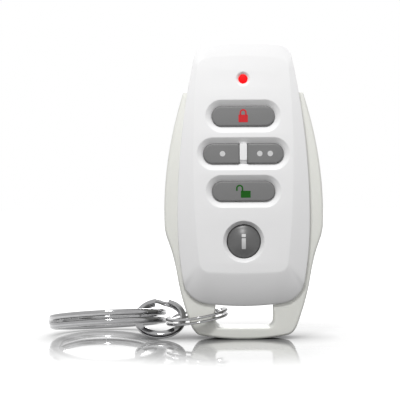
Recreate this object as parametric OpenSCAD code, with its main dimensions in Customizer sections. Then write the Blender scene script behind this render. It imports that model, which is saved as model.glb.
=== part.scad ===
// Alarm key fob that stands on its key loop, with its front face towards -Y.
// Two white covers clamp a frosted frame, whose lower end is the loop for a chain of split rings.
// Inside are a circuit board with five push switches, a coin cell and the radio parts.
// The keys are spread over the fob's height, the option key pair sets its width and the cell sets its depth.

/* [Covers] */
// Height of the fob, from the surface it stands on to the middle of its top edge
fob_h = 63.3; // [62.5:0.1:68]
// Height at which the covers end above the loop
cover_base_z = 7.2; // [7:0.1:8]
// Height of the covers' widest place
cover_waist_z = 26; // [23:0.5:29]
// Radius of the covers' sides above the waist
cover_upper_r = 155; // [140:5:200]
// Radius of the covers' sides below the waist
cover_lower_r = 78; // [68:1:90]
// Radius of the bowed top edge
cover_top_r = 59; // [45:1:90]
// Radius of the bowed lower edge
cover_base_r = 57; // [45:1:90]
// Length of side taken by the rounded top corners
cover_top_corner = 2.2; // [1.5:0.1:3]
// Length of side taken by the rounded lower corners
cover_low_corner = 3.8; // [2.8:0.1:4.4]
// Wall of both covers
cover_wall = 1.8; // [1.6:0.1:2.1]
// Height of the covers' edge in front of the parting plane, where the bevel starts
edge_out = 4.9; // [4.4:0.1:5.4]
// Height of the bevel from the covers' edge up to the flat face
bevel_h = 2.2; // [1.8:0.1:2.6]
// Width of the bevel at the sides
side_bevel = 3.5; // [3:0.1:4]
// Width of the bevel at the top
top_bevel = 2.9; // [2:0.1:3.6]
// Length of the slope at the lower end
low_slope = 7.2; // [5.5:0.1:8]
// Front wall behind the flat face
front_wall = 2.2; // [1.9:0.1:2.4]
// How far the cavity's ceiling stays inside the flat face
ceiling_in = 0.4; // [0.2:0.1:0.8]
// Wall between the foot of the bevel and the cavity
bevel_wall = 1.5; // [1.3:0.1:1.8]
// Width of the soft round at the rear cover's rim
rear_round = 2.6; // [1.8:0.1:3.2]
// Depth of the soft round at the rear cover's rim
rear_round_depth = 2.1; // [1.5:0.1:2.6]
// Round inside the rear cover's rim
rear_inner_round = 1.2; // [0.6:0.1:1.6]

/* [Flat face] */
// Flat left beside the option keys' bowl
face_margin = 0.75; // [0.3:0.05:1.2]
// Height of the flat face's widest place
face_waist_z = 38.5; // [33:0.5:44]
// Radius of the flat face's sides
face_side_r = 200; // [160:10:300]
// Radius of the flat face's bowed lower edge
face_base_r = 114; // [90:2:160]
// Length of side taken by the flat face's rounded corners
face_corner = 1.8; // [1.2:0.1:2.5]

/* [Loop frame] */
// Width of the frosted wing beside the covers at the waist
wing_w = 2.95; // [2.4:0.05:4]
// Rise of the frame's widest place above the covers' waist
wing_rise = 1; // [0:0.1:3]
// Radius of the wing's outer side
wing_r = 80; // [76:1:100]
// Distance from the top of the fob down to the wings' shoulders
shoulder_drop = 10.4; // [8:0.2:16]
// Distance from the widest place down to the knee, where the wing turns in towards the loop
knee_drop = 4; // [3:0.1:5]
// Length of side taken by the knee's round
knee_round = 1.6; // [1:0.1:2]
// How much narrower the loop's foot is than the covers, each side
foot_inset = 2.7; // [2.4:0.05:3.2]
// How far the flat that the fob stands on reaches past the slot, so that both legs stand on it
foot_reach = 0.5; // [0.3:0.1:1.2]
// Radius of the foot's bowed lower edge beside the flat
foot_r = 22; // [16:0.5:40]
// Width taken by the foot's rounded corner
foot_corner_w = 1.9; // [1.2:0.1:2.4]
// Height taken by the foot's rounded corner
foot_corner_h = 2.1; // [1.4:0.1:2.6]
// Front to back depth of the frame
frame_depth = 7.8; // [7:0.1:8.4]
// Round on the frame's outer edges
frame_edge_r = 0.6; // [0.5:0.05:1.1]
// Half width of the loop's slot
slot_half_w = 6.3; // [5.8:0.1:6.8]
// Height of the bar below the slot
bar_h = 2.4; // [1.8:0.1:2.8]
// Length of side taken by the slot's rounded lower corners
slot_corner = 1.3; // [0.8:0.1:1.6]
// Round on the slot's front and rear edges
slot_edge_r = 1; // [0.6:0.05:1.1]
// Thickness of the tongue that the covers clamp
tongue_t = 1.4; // [1:0.1:1.8]
// How far the tongue reaches in under the covers' rims
tongue_in = 1.1; // [0.8:0.05:1.2]

/* [Keys] */
// Length of the two long keys
key_l = 13.4; // [12:0.1:15]
// Width of all flat keys
key_w = 4.25; // [3.9:0.05:4.75]
// Length of the option key pair
option_l = 17.1; // [16:0.1:19]
// Bar of cover between the two option keys
option_bar = 1.6; // [1.4:0.05:2.2]
// Height of the info key's middle above the lower end of the flat face
info_rise = 6.7; // [6:0.1:8]
// How much farther the info key stands from its neighbour than the rows of flat keys from each other
info_extra = 2.7; // [2.2:0.1:3]
// How much closer the indicator stands to the arm key than the rows of flat keys to each other
led_tuck = 0.1; // [0:0.1:0.6]
// Diameter of the round info key
info_d = 7; // [6.8:0.1:8]
// Dome of the info key above its rim
info_dome = 0.55; // [0.3:0.05:0.7]
// Travel of every key
key_travel = 0.6; // [0.4:0.05:0.7]
// How far the flat keys lie below the flat face
key_sink = 0.3; // [0.1:0.05:0.5]
// Round on the keys' front edges
key_round = 0.4; // [0.2:0.05:0.5]
// Lip of a key's flange under the front wall
key_lip = 0.6; // [0.4:0.05:0.65]
// Thickness of a key's flange
key_flange_t = 0.7; // [0.5:0.05:0.8]
// Diameter of the post under a key
plunger_d = 2.4; // [2:0.1:2.8]
// Width of the sloping bowl wall round a flat key
bowl_w = 1.15; // [1.1:0.05:1.5]
// Width of the sloping bowl wall round the info key
info_bowl_w = 0.75; // [0.6:0.05:1]
// Depth of the bowls
bowl_depth = 1.4; // [1.1:0.05:1.55]

/* [Indicator] */
// Diameter of the indicator's lens
led_d = 1.9; // [1.5:0.1:2.2]
// Diameter of the dish round the lens, and of the lens's foot
led_dish_d = 2.7; // [2.6:0.1:3.4]
// Depth of the dish round the lens
led_dish_depth = 0.5; // [0.3:0.05:0.7]
// Dome of the lens
led_dome = 0.3; // [0.1:0.05:0.4]
// Height of the diode behind the lens
led_h = 0.8; // [0.6:0.05:1]

/* [Inside] */
// Front of the circuit board, measured forwards from the parting plane
board_out = 1.2; // [1.1:0.05:1.4]
// Thickness of the circuit board
board_t = 0.8; // [0.6:0.1:1]
// Side of a push switch
switch_w = 3.6; // [3.2:0.1:4]
// Height of a push switch's housing
switch_h = 1.1; // [1:0.05:1.2]
// Width of a push switch's solder feet
switch_foot = 0.6; // [0.4:0.1:0.8]
// Diameter of a push switch's stem
stem_d = 1.8; // [1.5:0.1:2]
// Diameter of the coin cell
cell_d = 20; // [16:0.5:21]
// Thickness of the coin cell
cell_t = 3.2; // [2.5:0.1:3.6]
// Height of the coin cell's middle
cell_z = 30; // [29:0.5:31]
// Width of the step round the coin cell's negative face
cell_step = 0.9; // [0.5:0.1:1.2]
// Height of the step round the coin cell's negative face
cell_step_h = 0.3; // [0.2:0.05:0.4]
// Thickness of the battery springs, the solder feet and the antenna
spring_t = 0.2; // [0.15:0.01:0.3]
// Width of the battery clip's strap
strap_w = 5; // [4:0.1:6]
// Diameter of the battery contact
contact_d = 8; // [6:0.5:10]
// Side of the controller chip
controller_w = 5; // [4:0.1:6]
// Thickness of the controller chip
controller_t = 0.9; // [0.7:0.1:1.2]
// Width of the radio chip
radio_w = 3; // [2.5:0.1:4]
// Length of the radio chip
radio_l = 4.4; // [4:0.1:5]
// Thickness of the radio chip
radio_t = 1; // [0.8:0.1:1.2]
// Width of the crystal
crystal_w = 3.2; // [2.5:0.1:4]
// Length of the crystal
crystal_l = 2.5; // [2:0.1:3]
// Thickness of the crystal
crystal_t = 0.8; // [0.6:0.1:1]
// Space between the parts on the back of the board
part_gap = 1.6; // [1:0.1:2]
// Width of the antenna's copper
trace_w = 0.8; // [0.5:0.1:1]
// Diameter of the case screws
screw_d = 2; // [1.8:0.1:2.2]
// Diameter of the case screws' heads
screw_head_d = 3.6; // [3.2:0.1:3.8]
// Height of the case screws' heads
screw_head_h = 1.2; // [1:0.1:1.3]
// Chamfer of the case screws
screw_chamfer = 0.4; // [0.2:0.05:0.5]
// Diameter of the screw bosses
boss_d = 4; // [3.7:0.1:4.4]
// Height of the two lower screws above the covers' lower end
low_screw_rise = 5.5; // [5.2:0.1:6]
// Distance of the two lower screws from the middle
low_screw_x = 7.5; // [7:0.1:8]

/* [Rings] */
// How far the loop ring's middle stays inside the leg's outer side
leg_hang = 1.15; // [1:0.05:1.5]
// Height of the loop ring's middle above the bar
leg_lift = 2.2; // [2:0.05:2.7]
// Outer diameter of the link between the two rings
link_ring_d = 11.2; // [10.8:0.1:12]
// Wire width of the two small rings
small_wire_w = 1.2; // [1:0.05:1.3]
// Wire thickness of the two small rings
small_wire_t = 0.5; // [0.4:0.02:0.56]
// Outer diameter of the key ring
key_ring_d = 26; // [24:0.5:30]
// Wire width of the key ring
key_wire_w = 2.2; // [1.8:0.1:2.4]
// Wire thickness of the key ring
key_wire_t = 1.35; // [1:0.05:1.4]
// Gap between the two turns of every ring
turn_gap = 0.45; // [0.42:0.01:0.5]
// How far the link ring hooks into the loop ring
link_bite = 3.15; // [3:0.05:3.3]
// Space left inside the link ring between the loop ring's wire and the key ring's wire, middle to middle
ring_spacing = 1.8; // [1.7:0.05:2]
// Distance of the link ring behind the middle plane
link_back = 0.9; // [0.7:0.05:1.1]
// Distance of the key ring behind the middle plane
key_ring_back = 4.7; // [4.5:0.05:5]

/* [Clearances] */
// Between faces that close on each other
seat_gap = 0.1; // [0.05:0.01:0.15]
// Round the covers in the frame
frame_gap = 0.15; // [0.1:0.01:0.25]
// Round a key in its opening
key_gap = 0.15; // [0.1:0.01:0.2]
// Radial, of a stem in its housing and of a screw in its boss
stem_gap = 0.05; // [0.03:0.01:0.09]
// Round the board and the bosses inside the covers
board_gap = 0.3; // [0.2:0.05:0.4]
// Between the battery clip and the rear cover
cell_gap = 0.4; // [0.2:0.05:0.6]
// Of the loop ring round the leg
ring_gap = 0.5; // [0.4:0.05:0.7]
// Of the rings over the surface that the fob stands on
floor_gap = 0.06; // [0.02:0.01:0.2]
// Overshoot of cuts
over = 0.2; // [0.1:0.05:0.3]

/* [Hidden] */
$fn = 48;

// Points along each stretch of a half outline
base_steps = 4;
corner_steps = 4;
side_steps = 10;
// Steps of a rounded edge
edge_steps = 3;
// How far a rounded corner's handles reach towards the point where its tangents meet
corner_pull = 0.56;
// The bevel leaves the flat face gently and steepens towards the edge: its handle, across and down
bevel_handle = [0.62, 0.38];
// Lean of the loop's sides at the foot and below the knee, and how far the curve between them follows each
foot_lean = [0.37, 1];
knee_lean = [0.385, 1];
side_pull = [0.56, 0.37];

// The top screw stands under the top wall, and the indicator under that screw's boss
top_screw_z = fob_h - cover_wall - seat_gap - board_gap - boss_d / 2;
led_z = top_screw_z - (led_dish_d + boss_d) / 2 - 2 * seat_gap;

// Rows of keys, spread in even steps between the info key and the indicator
row_steps = 4;
info_z = cover_base_z + low_slope + info_rise;
row_pitch = (led_z + led_tuck - info_z - info_extra) / row_steps;
disarm_z = info_z + row_pitch + info_extra;
option_z = disarm_z + row_pitch;
arm_z = option_z + row_pitch;
option_key_x = (option_l + option_bar) / 4;
key_places = [[0, arm_z], [-option_key_x, option_z], [option_key_x, option_z], [0, disarm_z], [0, info_z]];

low_screw_z = cover_base_z + low_screw_rise;
screw_places = [[-low_screw_x, low_screw_z], [low_screw_x, low_screw_z], [0, top_screw_z]];

// Widths, from the option keys outwards
face_half_w = option_l / 2 + key_gap + bowl_w + face_margin;
cover_half_w = face_half_w + side_bevel;
wing_half_w = cover_half_w + wing_w;
foot_corner_x = cover_half_w - foot_inset;
foot_half_w = slot_half_w + foot_reach;
wing_z = cover_waist_z + wing_rise;
knee_z = wing_z - knee_drop;
shoulder_z = fob_h - shoulder_drop;

// Depths, forwards from the parting plane
front_out = edge_out + bevel_h;
ceiling_out = front_out - front_wall;
key_top = front_out - key_sink;
flange_top = ceiling_out - seat_gap;
flange_base = flange_top - key_flange_t;
switch_front = board_out + switch_h;
stem_base = board_out + key_travel + seat_gap / 2;
stem_top = switch_front + key_travel + seat_gap;
boss_top = edge_out - seat_gap;
screw_tip = edge_out - cover_wall / 2 - seat_gap;

// Depths, backwards from the parting plane
board_back = board_t - board_out;
cell_front = board_back + spring_t;
cell_back = cell_front + cell_t;
rear_inner = cell_back + spring_t + cell_gap;
rear_depth = rear_inner + cover_wall;
screw_seat = rear_depth - screw_head_h - seat_gap;
frame_half = frame_depth / 2;

// Half width at height z of a side that bows out to half width w at height z0
function bowed(z, z0, w, r_up, r_low) = w - pow(z - z0, 2) / (2 * (z > z0 ? r_up : r_low));
function bowed_slope(z, z0, r_up, r_low) = [-(z - z0) / (z > z0 ? r_up : r_low), 1];

// Half width of the covers, and of the wing, at height z
function cover_w(z) = bowed(z, cover_waist_z, cover_half_w, cover_upper_r, cover_lower_r);
function wing_x(z) = bowed(z, wing_z, wing_half_w, wing_r, wing_r);

// Height of the foot's lower edge at distance x from the middle
function foot_rise(x) = (x * x - foot_half_w * foot_half_w) / (2 * foot_r);

// The point where the line through a along da meets the line through b along db
function meet(a, da, b, db) = a + da * cross(b - a, db) / cross(da, db);

// Cubic curve with four control points, without its first point
function curve(a, p, q, b, n) = [
    for (i = [1 : n])
        let (t = i / n, u = 1 - t)
        u * u * u * a + 3 * u * u * t * p + 3 * u * t * t * q + t * t * t * b
];

// Rounded corner from a to b, whose tangents meet at m
function rounded(a, m, b, n) = curve(a, a + (m - a) * corner_pull, b + (m - b) * corner_pull, b, n);

// A whole outline from its right half, which rises from the lower edge to the top edge
function whole(half) = concat(half, [for (i = [len(half) - 1 : -1 : 0]) [-half[i].x, half[i].y]]);

// An outline moved inwards by e along its own normals
function inset(points, e) = [
    for (i = [0 : len(points) - 1])
        let (
            n = len(points),
            a = points[(i + 1) % n] - points[i],
            b = points[i] - points[(i + n - 1) % n],
            t = a / norm(a) + b / norm(b)
        )
        points[i] + e * [-t.y, t.x] / norm(t)
];

// A shape with bowed sides, a bowed lower edge and a bowed top edge, all meeting in rounded corners
function shield(base_z, base_r, top_z, top_r, z0, w, r_up, r_low, low_corner, top_corner) =
    let (
        low_z = base_z + pow(bowed(base_z, z0, w, r_up, r_low), 2) / (2 * base_r),
        low_x = bowed(low_z, z0, w, r_up, r_low) - low_corner,
        high_z = top_z - pow(bowed(top_z, z0, w, r_up, r_low), 2) / (2 * top_r),
        high_x = bowed(high_z, z0, w, r_up, r_low) - top_corner,
        side_low = low_z + low_corner,
        side_high = high_z - top_corner,
        a = [low_x, base_z + low_x * low_x / (2 * base_r)],
        b = [bowed(side_low, z0, w, r_up, r_low), side_low],
        c = [bowed(side_high, z0, w, r_up, r_low), side_high],
        d = [high_x, top_z - high_x * high_x / (2 * top_r)],
        low_meet = meet(a, [1, a.x / base_r], b, bowed_slope(side_low, z0, r_up, r_low)),
        high_meet = meet(c, bowed_slope(side_high, z0, r_up, r_low), d, [-1, d.x / top_r]),
        side_step = (side_high - side_low) / side_steps
    )
    whole(concat(
        [
            for (i = [1 : base_steps])
                let (x = low_x * i / base_steps)
                [x, base_z + x * x / (2 * base_r)]
        ],
        rounded(a, low_meet, b, corner_steps),
        [
            for (i = [1 : side_steps])
                let (z = side_low + i * side_step)
                [bowed(z, z0, w, r_up, r_low), z]
        ],
        rounded(c, high_meet, d, corner_steps),
        [
            for (i = [base_steps - 1 : -1 : 1])
                let (x = high_x * i / base_steps)
                [x, top_z - x * x / (2 * top_r)]
        ]
    ));

cover_outline = shield(
    cover_base_z, cover_base_r, fob_h, cover_top_r, cover_waist_z, cover_half_w,
    cover_upper_r, cover_lower_r, cover_low_corner, cover_top_corner
);
cavity_outline = inset(cover_outline, cover_wall);
face_outline = shield(
    cover_base_z + low_slope, face_base_r, fob_h - top_bevel, cover_top_r, face_waist_z, face_half_w,
    face_side_r, face_side_r, face_corner, face_corner
);

// The frame: a flat foot, a bowed lower edge, a side that sweeps out to the knee, and the wing above it
frame_outline =
    let (
        foot_x = foot_corner_x - foot_corner_w,
        a = [foot_x, foot_rise(foot_x)],
        b = [foot_corner_x, a.y + foot_corner_h],
        knee = [wing_x(knee_z), knee_z],
        knee_low = knee - knee_lean * knee_round,
        knee_high = [wing_x(knee_z + knee_round), knee_z + knee_round],
        rise = knee_low.y - b.y,
        foot_handle = b + foot_lean * rise * side_pull[0],
        knee_handle = knee_low - knee_lean * rise * side_pull[1],
        foot_step = (foot_x - foot_half_w) / base_steps,
        wing_step = (shoulder_z - knee_high.y) / side_steps
    )
    whole(concat(
        [for (i = [0 : base_steps]) let (x = foot_half_w + i * foot_step) [x, foot_rise(x)]],
        rounded(a, meet(a, [1, foot_x / foot_r], b, foot_lean), b, corner_steps),
        curve(b, foot_handle, knee_handle, knee_low, side_steps),
        rounded(knee_low, knee, knee_high, corner_steps),
        [for (i = [1 : side_steps]) let (z = knee_high.y + i * wing_step) [wing_x(z), z]]
    ));

// The loop's slot, open upwards to the covers
slot_outline =
    let (
        low = [slot_half_w - slot_corner, bar_h],
        side = [slot_half_w, bar_h + slot_corner],
        open_z = cover_base_z + slot_half_w * slot_half_w / (2 * cover_base_r)
    )
    whole(concat([low], rounded(low, [slot_half_w, bar_h], side, corner_steps), [[slot_half_w, open_z]]));

// An outline placed at a distance behind the parting plane
function at(outline, y) = [for (p = outline) [p.x, y, p.y]];

// Steps of a rounded edge of radius r on a plate of half depth d: inset and depth, from the face to the side
function edge_round(r, d) = [
    for (i = [0 : edge_steps])
        let (a = 90 * i / edge_steps)
        [r * (1 - sin(a)), d - r * (1 - cos(a))]
];

// Outlines through a plate with both edges rounded, front to rear; sign is 1 for a body and -1 for a hole
function plate_sections(outline, r, d, sign) =
    let (steps = edge_round(r, d))
    concat(
        [for (s = steps) at(inset(outline, sign * s[0]), -s[1])],
        [for (i = [edge_steps : -1 : 0]) at(inset(outline, sign * steps[i][0]), steps[i][1])]
    );

// A closed solid through outlines that all have the same number of points, front to rear
module loft(sections) {
    n = len(sections[0]);
    last = (len(sections) - 1) * n;
    front = [for (i = [0 : n / 2 - 2]) each [[i, n - 2 - i, i + 1], [i, n - 1 - i, n - 2 - i]]];
    rear = [for (f = front) [last + f[0], last + f[2], last + f[1]]];
    sides = [
        for (s = [0 : len(sections) - 2], i = [0 : n - 1])
            let (a = s * n + i, b = s * n + (i + 1) % n)
            each [[a, b, b + n], [a, b + n, a + n]]
    ];
    polyhedron(points = [for (s = sections) each s], faces = concat(front, rear, sides), convexity = 6);
}

// A straight block of an outline between two distances behind the parting plane
module slab(outline, y0, y1) {
    translate([0, y1, 0])
        rotate([90, 0, 0])
            linear_extrude(y1 - y0)
                polygon(outline);
}

// Places children at a point of the front face, with their Z pointing out of it
module facing(place) {
    translate([place.x, 0, place.y])
        rotate([90, 0, 0])
            children();
}

// A half section swept along a straight from x0 to x1, with round ends where they are asked for
module pill(x0, x1, section, left = true, right = true) {
    mirrored = [for (i = [len(section) - 1 : -1 : 0]) if (section[i].x > 0) [-section[i].x, section[i].y]];
    translate([x0, 0, 0])
        rotate([90, 0, 90])
            linear_extrude(x1 - x0)
                polygon(concat(section, mirrored));
    if (right)
        translate([x1, 0, 0])
            rotate([0, 0, -90])
                rotate_extrude(angle = 180)
                    polygon(section);
    if (left)
        translate([x0, 0, 0])
            rotate([0, 0, 90])
                rotate_extrude(angle = 180)
                    polygon(section);
}

// Half section of a sloping bowl over a straight opening
function bowl_section(r, w) = [
    [0, ceiling_out - over],
    [r + key_gap, ceiling_out - over],
    [r + key_gap, front_out - bowl_depth],
    [r + key_gap + w + over * w / bowl_depth, front_out + over],
    [0, front_out + over]
];

// Half section of a key with its flange, its rounded front edge and the dome of its face
function key_section(r, top, dome) =
    let (flange_r = r + key_gap + key_lip, flat_r = r - key_round, rim = top - dome - key_round, rings = 4)
    concat(
        [[0, flange_base], [flange_r, flange_base], [flange_r, flange_top], [r, flange_top]],
        [for (a = [0 : 22.5 : 90]) [flat_r + key_round * cos(a), rim + key_round * sin(a)]],
        dome > 0 ? [for (i = [rings - 1 : -1 : 1]) [flat_r * i / rings, top - dome * pow(i / rings, 2)]] : [],
        [[0, top]]
    );

// The step round a cover's rim that takes the frame's tongue, below the shoulders only
module rim_rebate(y0, y1) {
    difference() {
        translate([-wing_half_w, y0, 0])
            cube([2 * wing_half_w, y1 - y0, shoulder_z + seat_gap]);
        slab(inset(cover_outline, tongue_in + seat_gap), y0 - over, y1 + over);
    }
}

module front_cover() {
    bevel_steps = 5;
    bevel = [
        for (i = [0 : bevel_steps])
            let (t = i / bevel_steps, share = 2 * t * (1 - t) * bevel_handle + t * t * [1, 1])
            at(face_outline * (1 - share.x) + cover_outline * share.x, bevel_h * share.y - front_out)
    ];
    long_x = (key_l - key_w) / 2;
    option_x = (option_l - key_w) / 2;
    bar_w = option_bar - 2 * key_gap;
    bar_l = key_w + 2 * key_gap + 2 * over;
    color("white")
        difference() {
            union() {
                difference() {
                    loft(concat(bevel, [at(cover_outline, 0)]));
                    loft([
                        at(inset(face_outline, ceiling_in), -ceiling_out),
                        at(cavity_outline, bevel_wall - edge_out),
                        at(cavity_outline, over)
                    ]);
                    rim_rebate(-tongue_t / 2 - seat_gap, over);
                    for (z = [arm_z, disarm_z])
                        facing([0, z])
                            pill(-long_x, long_x, bowl_section(key_w / 2, bowl_w));
                    facing([0, option_z])
                        pill(-option_x, option_x, bowl_section(key_w / 2, bowl_w));
                    facing([0, info_z])
                        rotate_extrude()
                            polygon(bowl_section(info_d / 2, info_bowl_w));
                }
                // Bar between the option keys
                facing([0, option_z])
                    translate([-bar_w / 2, -bar_l / 2, ceiling_out])
                        cube([bar_w, bar_l, key_top - ceiling_out]);
                // Bosses that the case screws bite into
                for (p = screw_places)
                    facing(p)
                        translate([0, 0, board_out])
                            cylinder(d = boss_d, h = boss_top - board_out);
            }
            for (p = screw_places)
                facing(p)
                    translate([0, 0, board_out - over])
                        cylinder(d = screw_d + 2 * stem_gap, h = screw_tip + seat_gap - board_out + over);
            // Hole and dish of the indicator
            facing([0, led_z]) {
                translate([0, 0, ceiling_out - over])
                    cylinder(d = led_d + 2 * stem_gap, h = front_wall + 2 * over);
                translate([0, 0, front_out - led_dish_depth])
                    cylinder(d1 = led_d, d2 = led_dish_d, h = led_dish_depth + over / 10);
            }
        }
}

module rear_cover() {
    round_steps = 4;
    rim = [
        for (i = [0 : round_steps])
            let (a = 90 * i / round_steps)
            at(inset(cover_outline, rear_round * (1 - cos(a))), rear_depth - rear_round_depth * (1 - sin(a)))
    ];
    color("white")
        difference() {
            union() {
                difference() {
                    loft(concat([at(cover_outline, 0)], rim));
                    loft([
                        at(cavity_outline, -over),
                        at(cavity_outline, rear_inner - rear_inner_round),
                        at(inset(cavity_outline, rear_inner_round), rear_inner)
                    ]);
                    rim_rebate(-over, tongue_t / 2 + seat_gap);
                }
                for (p = screw_places)
                    facing(p)
                        translate([0, 0, -rear_inner - cover_wall / 2])
                            cylinder(d = boss_d, h = rear_inner + cover_wall / 2 - board_back);
            }
            for (p = screw_places)
                facing(p)
                    translate([0, 0, -rear_depth - over]) {
                        cylinder(d = screw_d + 4 * stem_gap, h = rear_depth + board_out);
                        cylinder(d = screw_head_d + 2 * frame_gap, h = rear_depth - screw_seat + over);
                    }
        }
}

module loop_frame() {
    hole = plate_sections(slot_outline, slot_edge_r, frame_half, -1);
    mouth = inset(slot_outline, -slot_edge_r);
    color([0.88, 0.89, 0.86])
        difference() {
            union() {
                difference() {
                    loft(plate_sections(frame_outline, frame_edge_r, frame_half, 1));
                    slab(inset(cover_outline, -frame_gap), -frame_half - over, frame_half + over);
                }
                // The tongue between the covers' rims
                difference() {
                    slab(inset(frame_outline, frame_edge_r), -tongue_t / 2, tongue_t / 2);
                    slab(inset(cover_outline, tongue_in), -tongue_t, tongue_t);
                }
            }
            loft(concat([at(mouth, -frame_half - over)], hole, [at(mouth, frame_half + over)]));
        }
}

// The post under a key that pushes a switch's stem
module plunger(x) {
    translate([x, 0, stem_top])
        cylinder(d = plunger_d, h = flange_base - stem_top + over);
}

module long_key(z) {
    end = (key_l - key_w) / 2;
    color([0.5, 0.5, 0.51])
        facing([0, z]) {
            pill(-end, end, key_section(key_w / 2, key_top, 0));
            plunger(0);
        }
}

// One of the two option keys: round at its outer end, square at the bar
module option_key(side) {
    outer = (option_l - key_w) / 2;
    inner = option_bar / 2;
    section = key_section(key_w / 2, key_top, 0);
    color([0.5, 0.5, 0.51])
        facing([0, option_z]) {
            if (side > 0)
                pill(inner, outer, section, left = false);
            else
                pill(-outer, -inner, section, right = false);
            plunger(side * option_key_x);
        }
}

module arm_key() {
    long_key(arm_z);
}

module option_one_key() {
    option_key(-1);
}

module option_two_key() {
    option_key(1);
}

module disarm_key() {
    long_key(disarm_z);
}

module info_key() {
    color([0.35, 0.35, 0.36])
        facing([0, info_z]) {
            rotate_extrude()
                polygon(key_section(info_d / 2, front_out, info_dome));
            plunger(0);
        }
}

// The fixed housing of a push switch, with its solder feet
module switch_housing(place) {
    color([0.15, 0.15, 0.16])
        facing(place)
            difference() {
                union() {
                    translate([-switch_w / 2, -switch_w / 2, board_out])
                        cube([switch_w, switch_w, switch_h]);
                    for (y = [-switch_w / 3, switch_w / 3])
                        translate([-switch_w / 2 - switch_foot, y - switch_foot / 2, board_out])
                            cube([switch_w + 2 * switch_foot, switch_foot, spring_t]);
                }
                translate([0, 0, board_out - over])
                    cylinder(d = stem_d + 2 * stem_gap, h = switch_h + 2 * over);
            }
}

// The stem of a push switch, which moves with its key
module switch_stem(place) {
    color([0.75, 0.72, 0.62])
        facing(place)
            translate([0, 0, stem_base])
                cylinder(d = stem_d, h = stem_top - stem_base);
}

module arm_switch() {
    switch_housing(key_places[0]);
}

module option_one_switch() {
    switch_housing(key_places[1]);
}

module option_two_switch() {
    switch_housing(key_places[2]);
}

module disarm_switch() {
    switch_housing(key_places[3]);
}

module info_switch() {
    switch_housing(key_places[4]);
}

module arm_stem() {
    switch_stem(key_places[0]);
}

module option_one_stem() {
    switch_stem(key_places[1]);
}

module option_two_stem() {
    switch_stem(key_places[2]);
}

module disarm_stem() {
    switch_stem(key_places[3]);
}

module info_stem() {
    switch_stem(key_places[4]);
}

// The light pipe that carries the indicator's light to the front face
module indicator_lens() {
    r = led_d / 2;
    foot_r = led_dish_d / 2;
    base = board_out + led_h + seat_gap;
    foot_base = ceiling_out - key_flange_t;
    rim = front_out - led_dish_depth;
    color([0.95, 0.1, 0.12])
        facing([0, led_z])
            rotate_extrude()
                polygon(concat(
                    [[0, base], [r, base], [r, foot_base], [foot_r, foot_base]],
                    [[foot_r, ceiling_out], [r, ceiling_out]],
                    [for (a = [0 : 22.5 : 67.5]) [r * cos(a), rim + led_dome * sin(a)]],
                    [[0, rim + led_dome]]
                ));
}

module indicator_led() {
    color([0.95, 0.93, 0.85])
        facing([0, led_z])
            translate([-led_d / 2, -led_d / 4, board_out])
                cube([led_d, led_d / 2, led_h]);
}

module circuit_board() {
    color([0.05, 0.35, 0.2])
        difference() {
            slab(inset(cavity_outline, board_gap), -board_out, board_back);
            for (p = screw_places)
                facing(p)
                    translate([0, 0, -board_back - over])
                        cylinder(d = screw_d + 4 * stem_gap, h = board_t + 2 * over);
        }
}

// A flat part soldered to the back of the board, w wide, h high and t thick
module board_part(x, z, w, h, t) {
    translate([x - w / 2, board_back, z - h / 2])
        cube([w, t, h]);
}

// The chips stand midway between the coin cell and the top screw
chip_z = (cell_z + cell_d / 2 + top_screw_z - boss_d / 2) / 2;
radio_x = (part_gap + radio_w) / 2;
radio_z = chip_z - (crystal_l + part_gap) / 2;

module controller_chip() {
    color([0.12, 0.12, 0.13])
        board_part(-(part_gap + controller_w) / 2, chip_z, controller_w, controller_w, controller_t);
}

module radio_chip() {
    color([0.12, 0.12, 0.13])
        board_part(radio_x, radio_z, radio_w, radio_l, radio_t);
}

module crystal() {
    color([0.8, 0.8, 0.82])
        board_part(radio_x, radio_z + (radio_l + crystal_l) / 2 + part_gap, crystal_w, crystal_l, crystal_t);
}

// A flat loop of copper round three sides of the controller chip
module antenna() {
    reach = controller_w / 2 + part_gap + trace_w;
    low = chip_z - reach;
    high = chip_z + reach;
    left = -(cover_w(high) - cover_wall - board_gap - trace_w);
    color([0.85, 0.55, 0.3])
        union() {
            translate([left, board_back, low])
                cube([trace_w, spring_t, high - low]);
            for (z = [low, high - trace_w])
                translate([left, board_back, z])
                    cube([-left - part_gap, spring_t, trace_w]);
        }
}

module coin_cell() {
    r = cell_d / 2;
    face_r = r - cell_step;
    color([0.78, 0.78, 0.8])
        translate([0, cell_front, cell_z])
            rotate([-90, 0, 0])
                rotate_extrude()
                    polygon([
                        [0, 0], [face_r, 0], [face_r, cell_step_h],
                        [r, cell_step_h], [r, cell_t], [0, cell_t]
                    ]);
}

// The strap over the cell's rear face, with a leg on each side down to the board
module battery_clip() {
    reach = cell_d / 2 + board_gap;
    color([0.8, 0.78, 0.7])
        translate([0, 0, cell_z - strap_w / 2])
            union() {
                translate([-reach - spring_t, cell_back, 0])
                    cube([2 * (reach + spring_t), spring_t, strap_w]);
                for (x = [-reach - spring_t, reach])
                    translate([x, board_back, 0])
                        cube([spring_t, cell_back + spring_t - board_back, strap_w]);
            }
}

module battery_contact() {
    color([0.8, 0.78, 0.7])
        translate([0, board_back, cell_z])
            rotate([-90, 0, 0])
                cylinder(d = contact_d, h = spring_t);
}

// Three screws put in from the rear
module case_screws() {
    r = screw_d / 2;
    head_r = screw_head_d / 2;
    head_top = -screw_seat - screw_head_h;
    color([0.6, 0.6, 0.62])
        for (p = screw_places)
            facing(p)
                rotate_extrude()
                    polygon([
                        [0, head_top],
                        [head_r - screw_chamfer, head_top],
                        [head_r, head_top + screw_chamfer],
                        [head_r, -screw_seat],
                        [r, -screw_seat],
                        [r, screw_tip - screw_chamfer],
                        [r - screw_chamfer, screw_tip],
                        [0, screw_tip]
                    ]);
}

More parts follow.
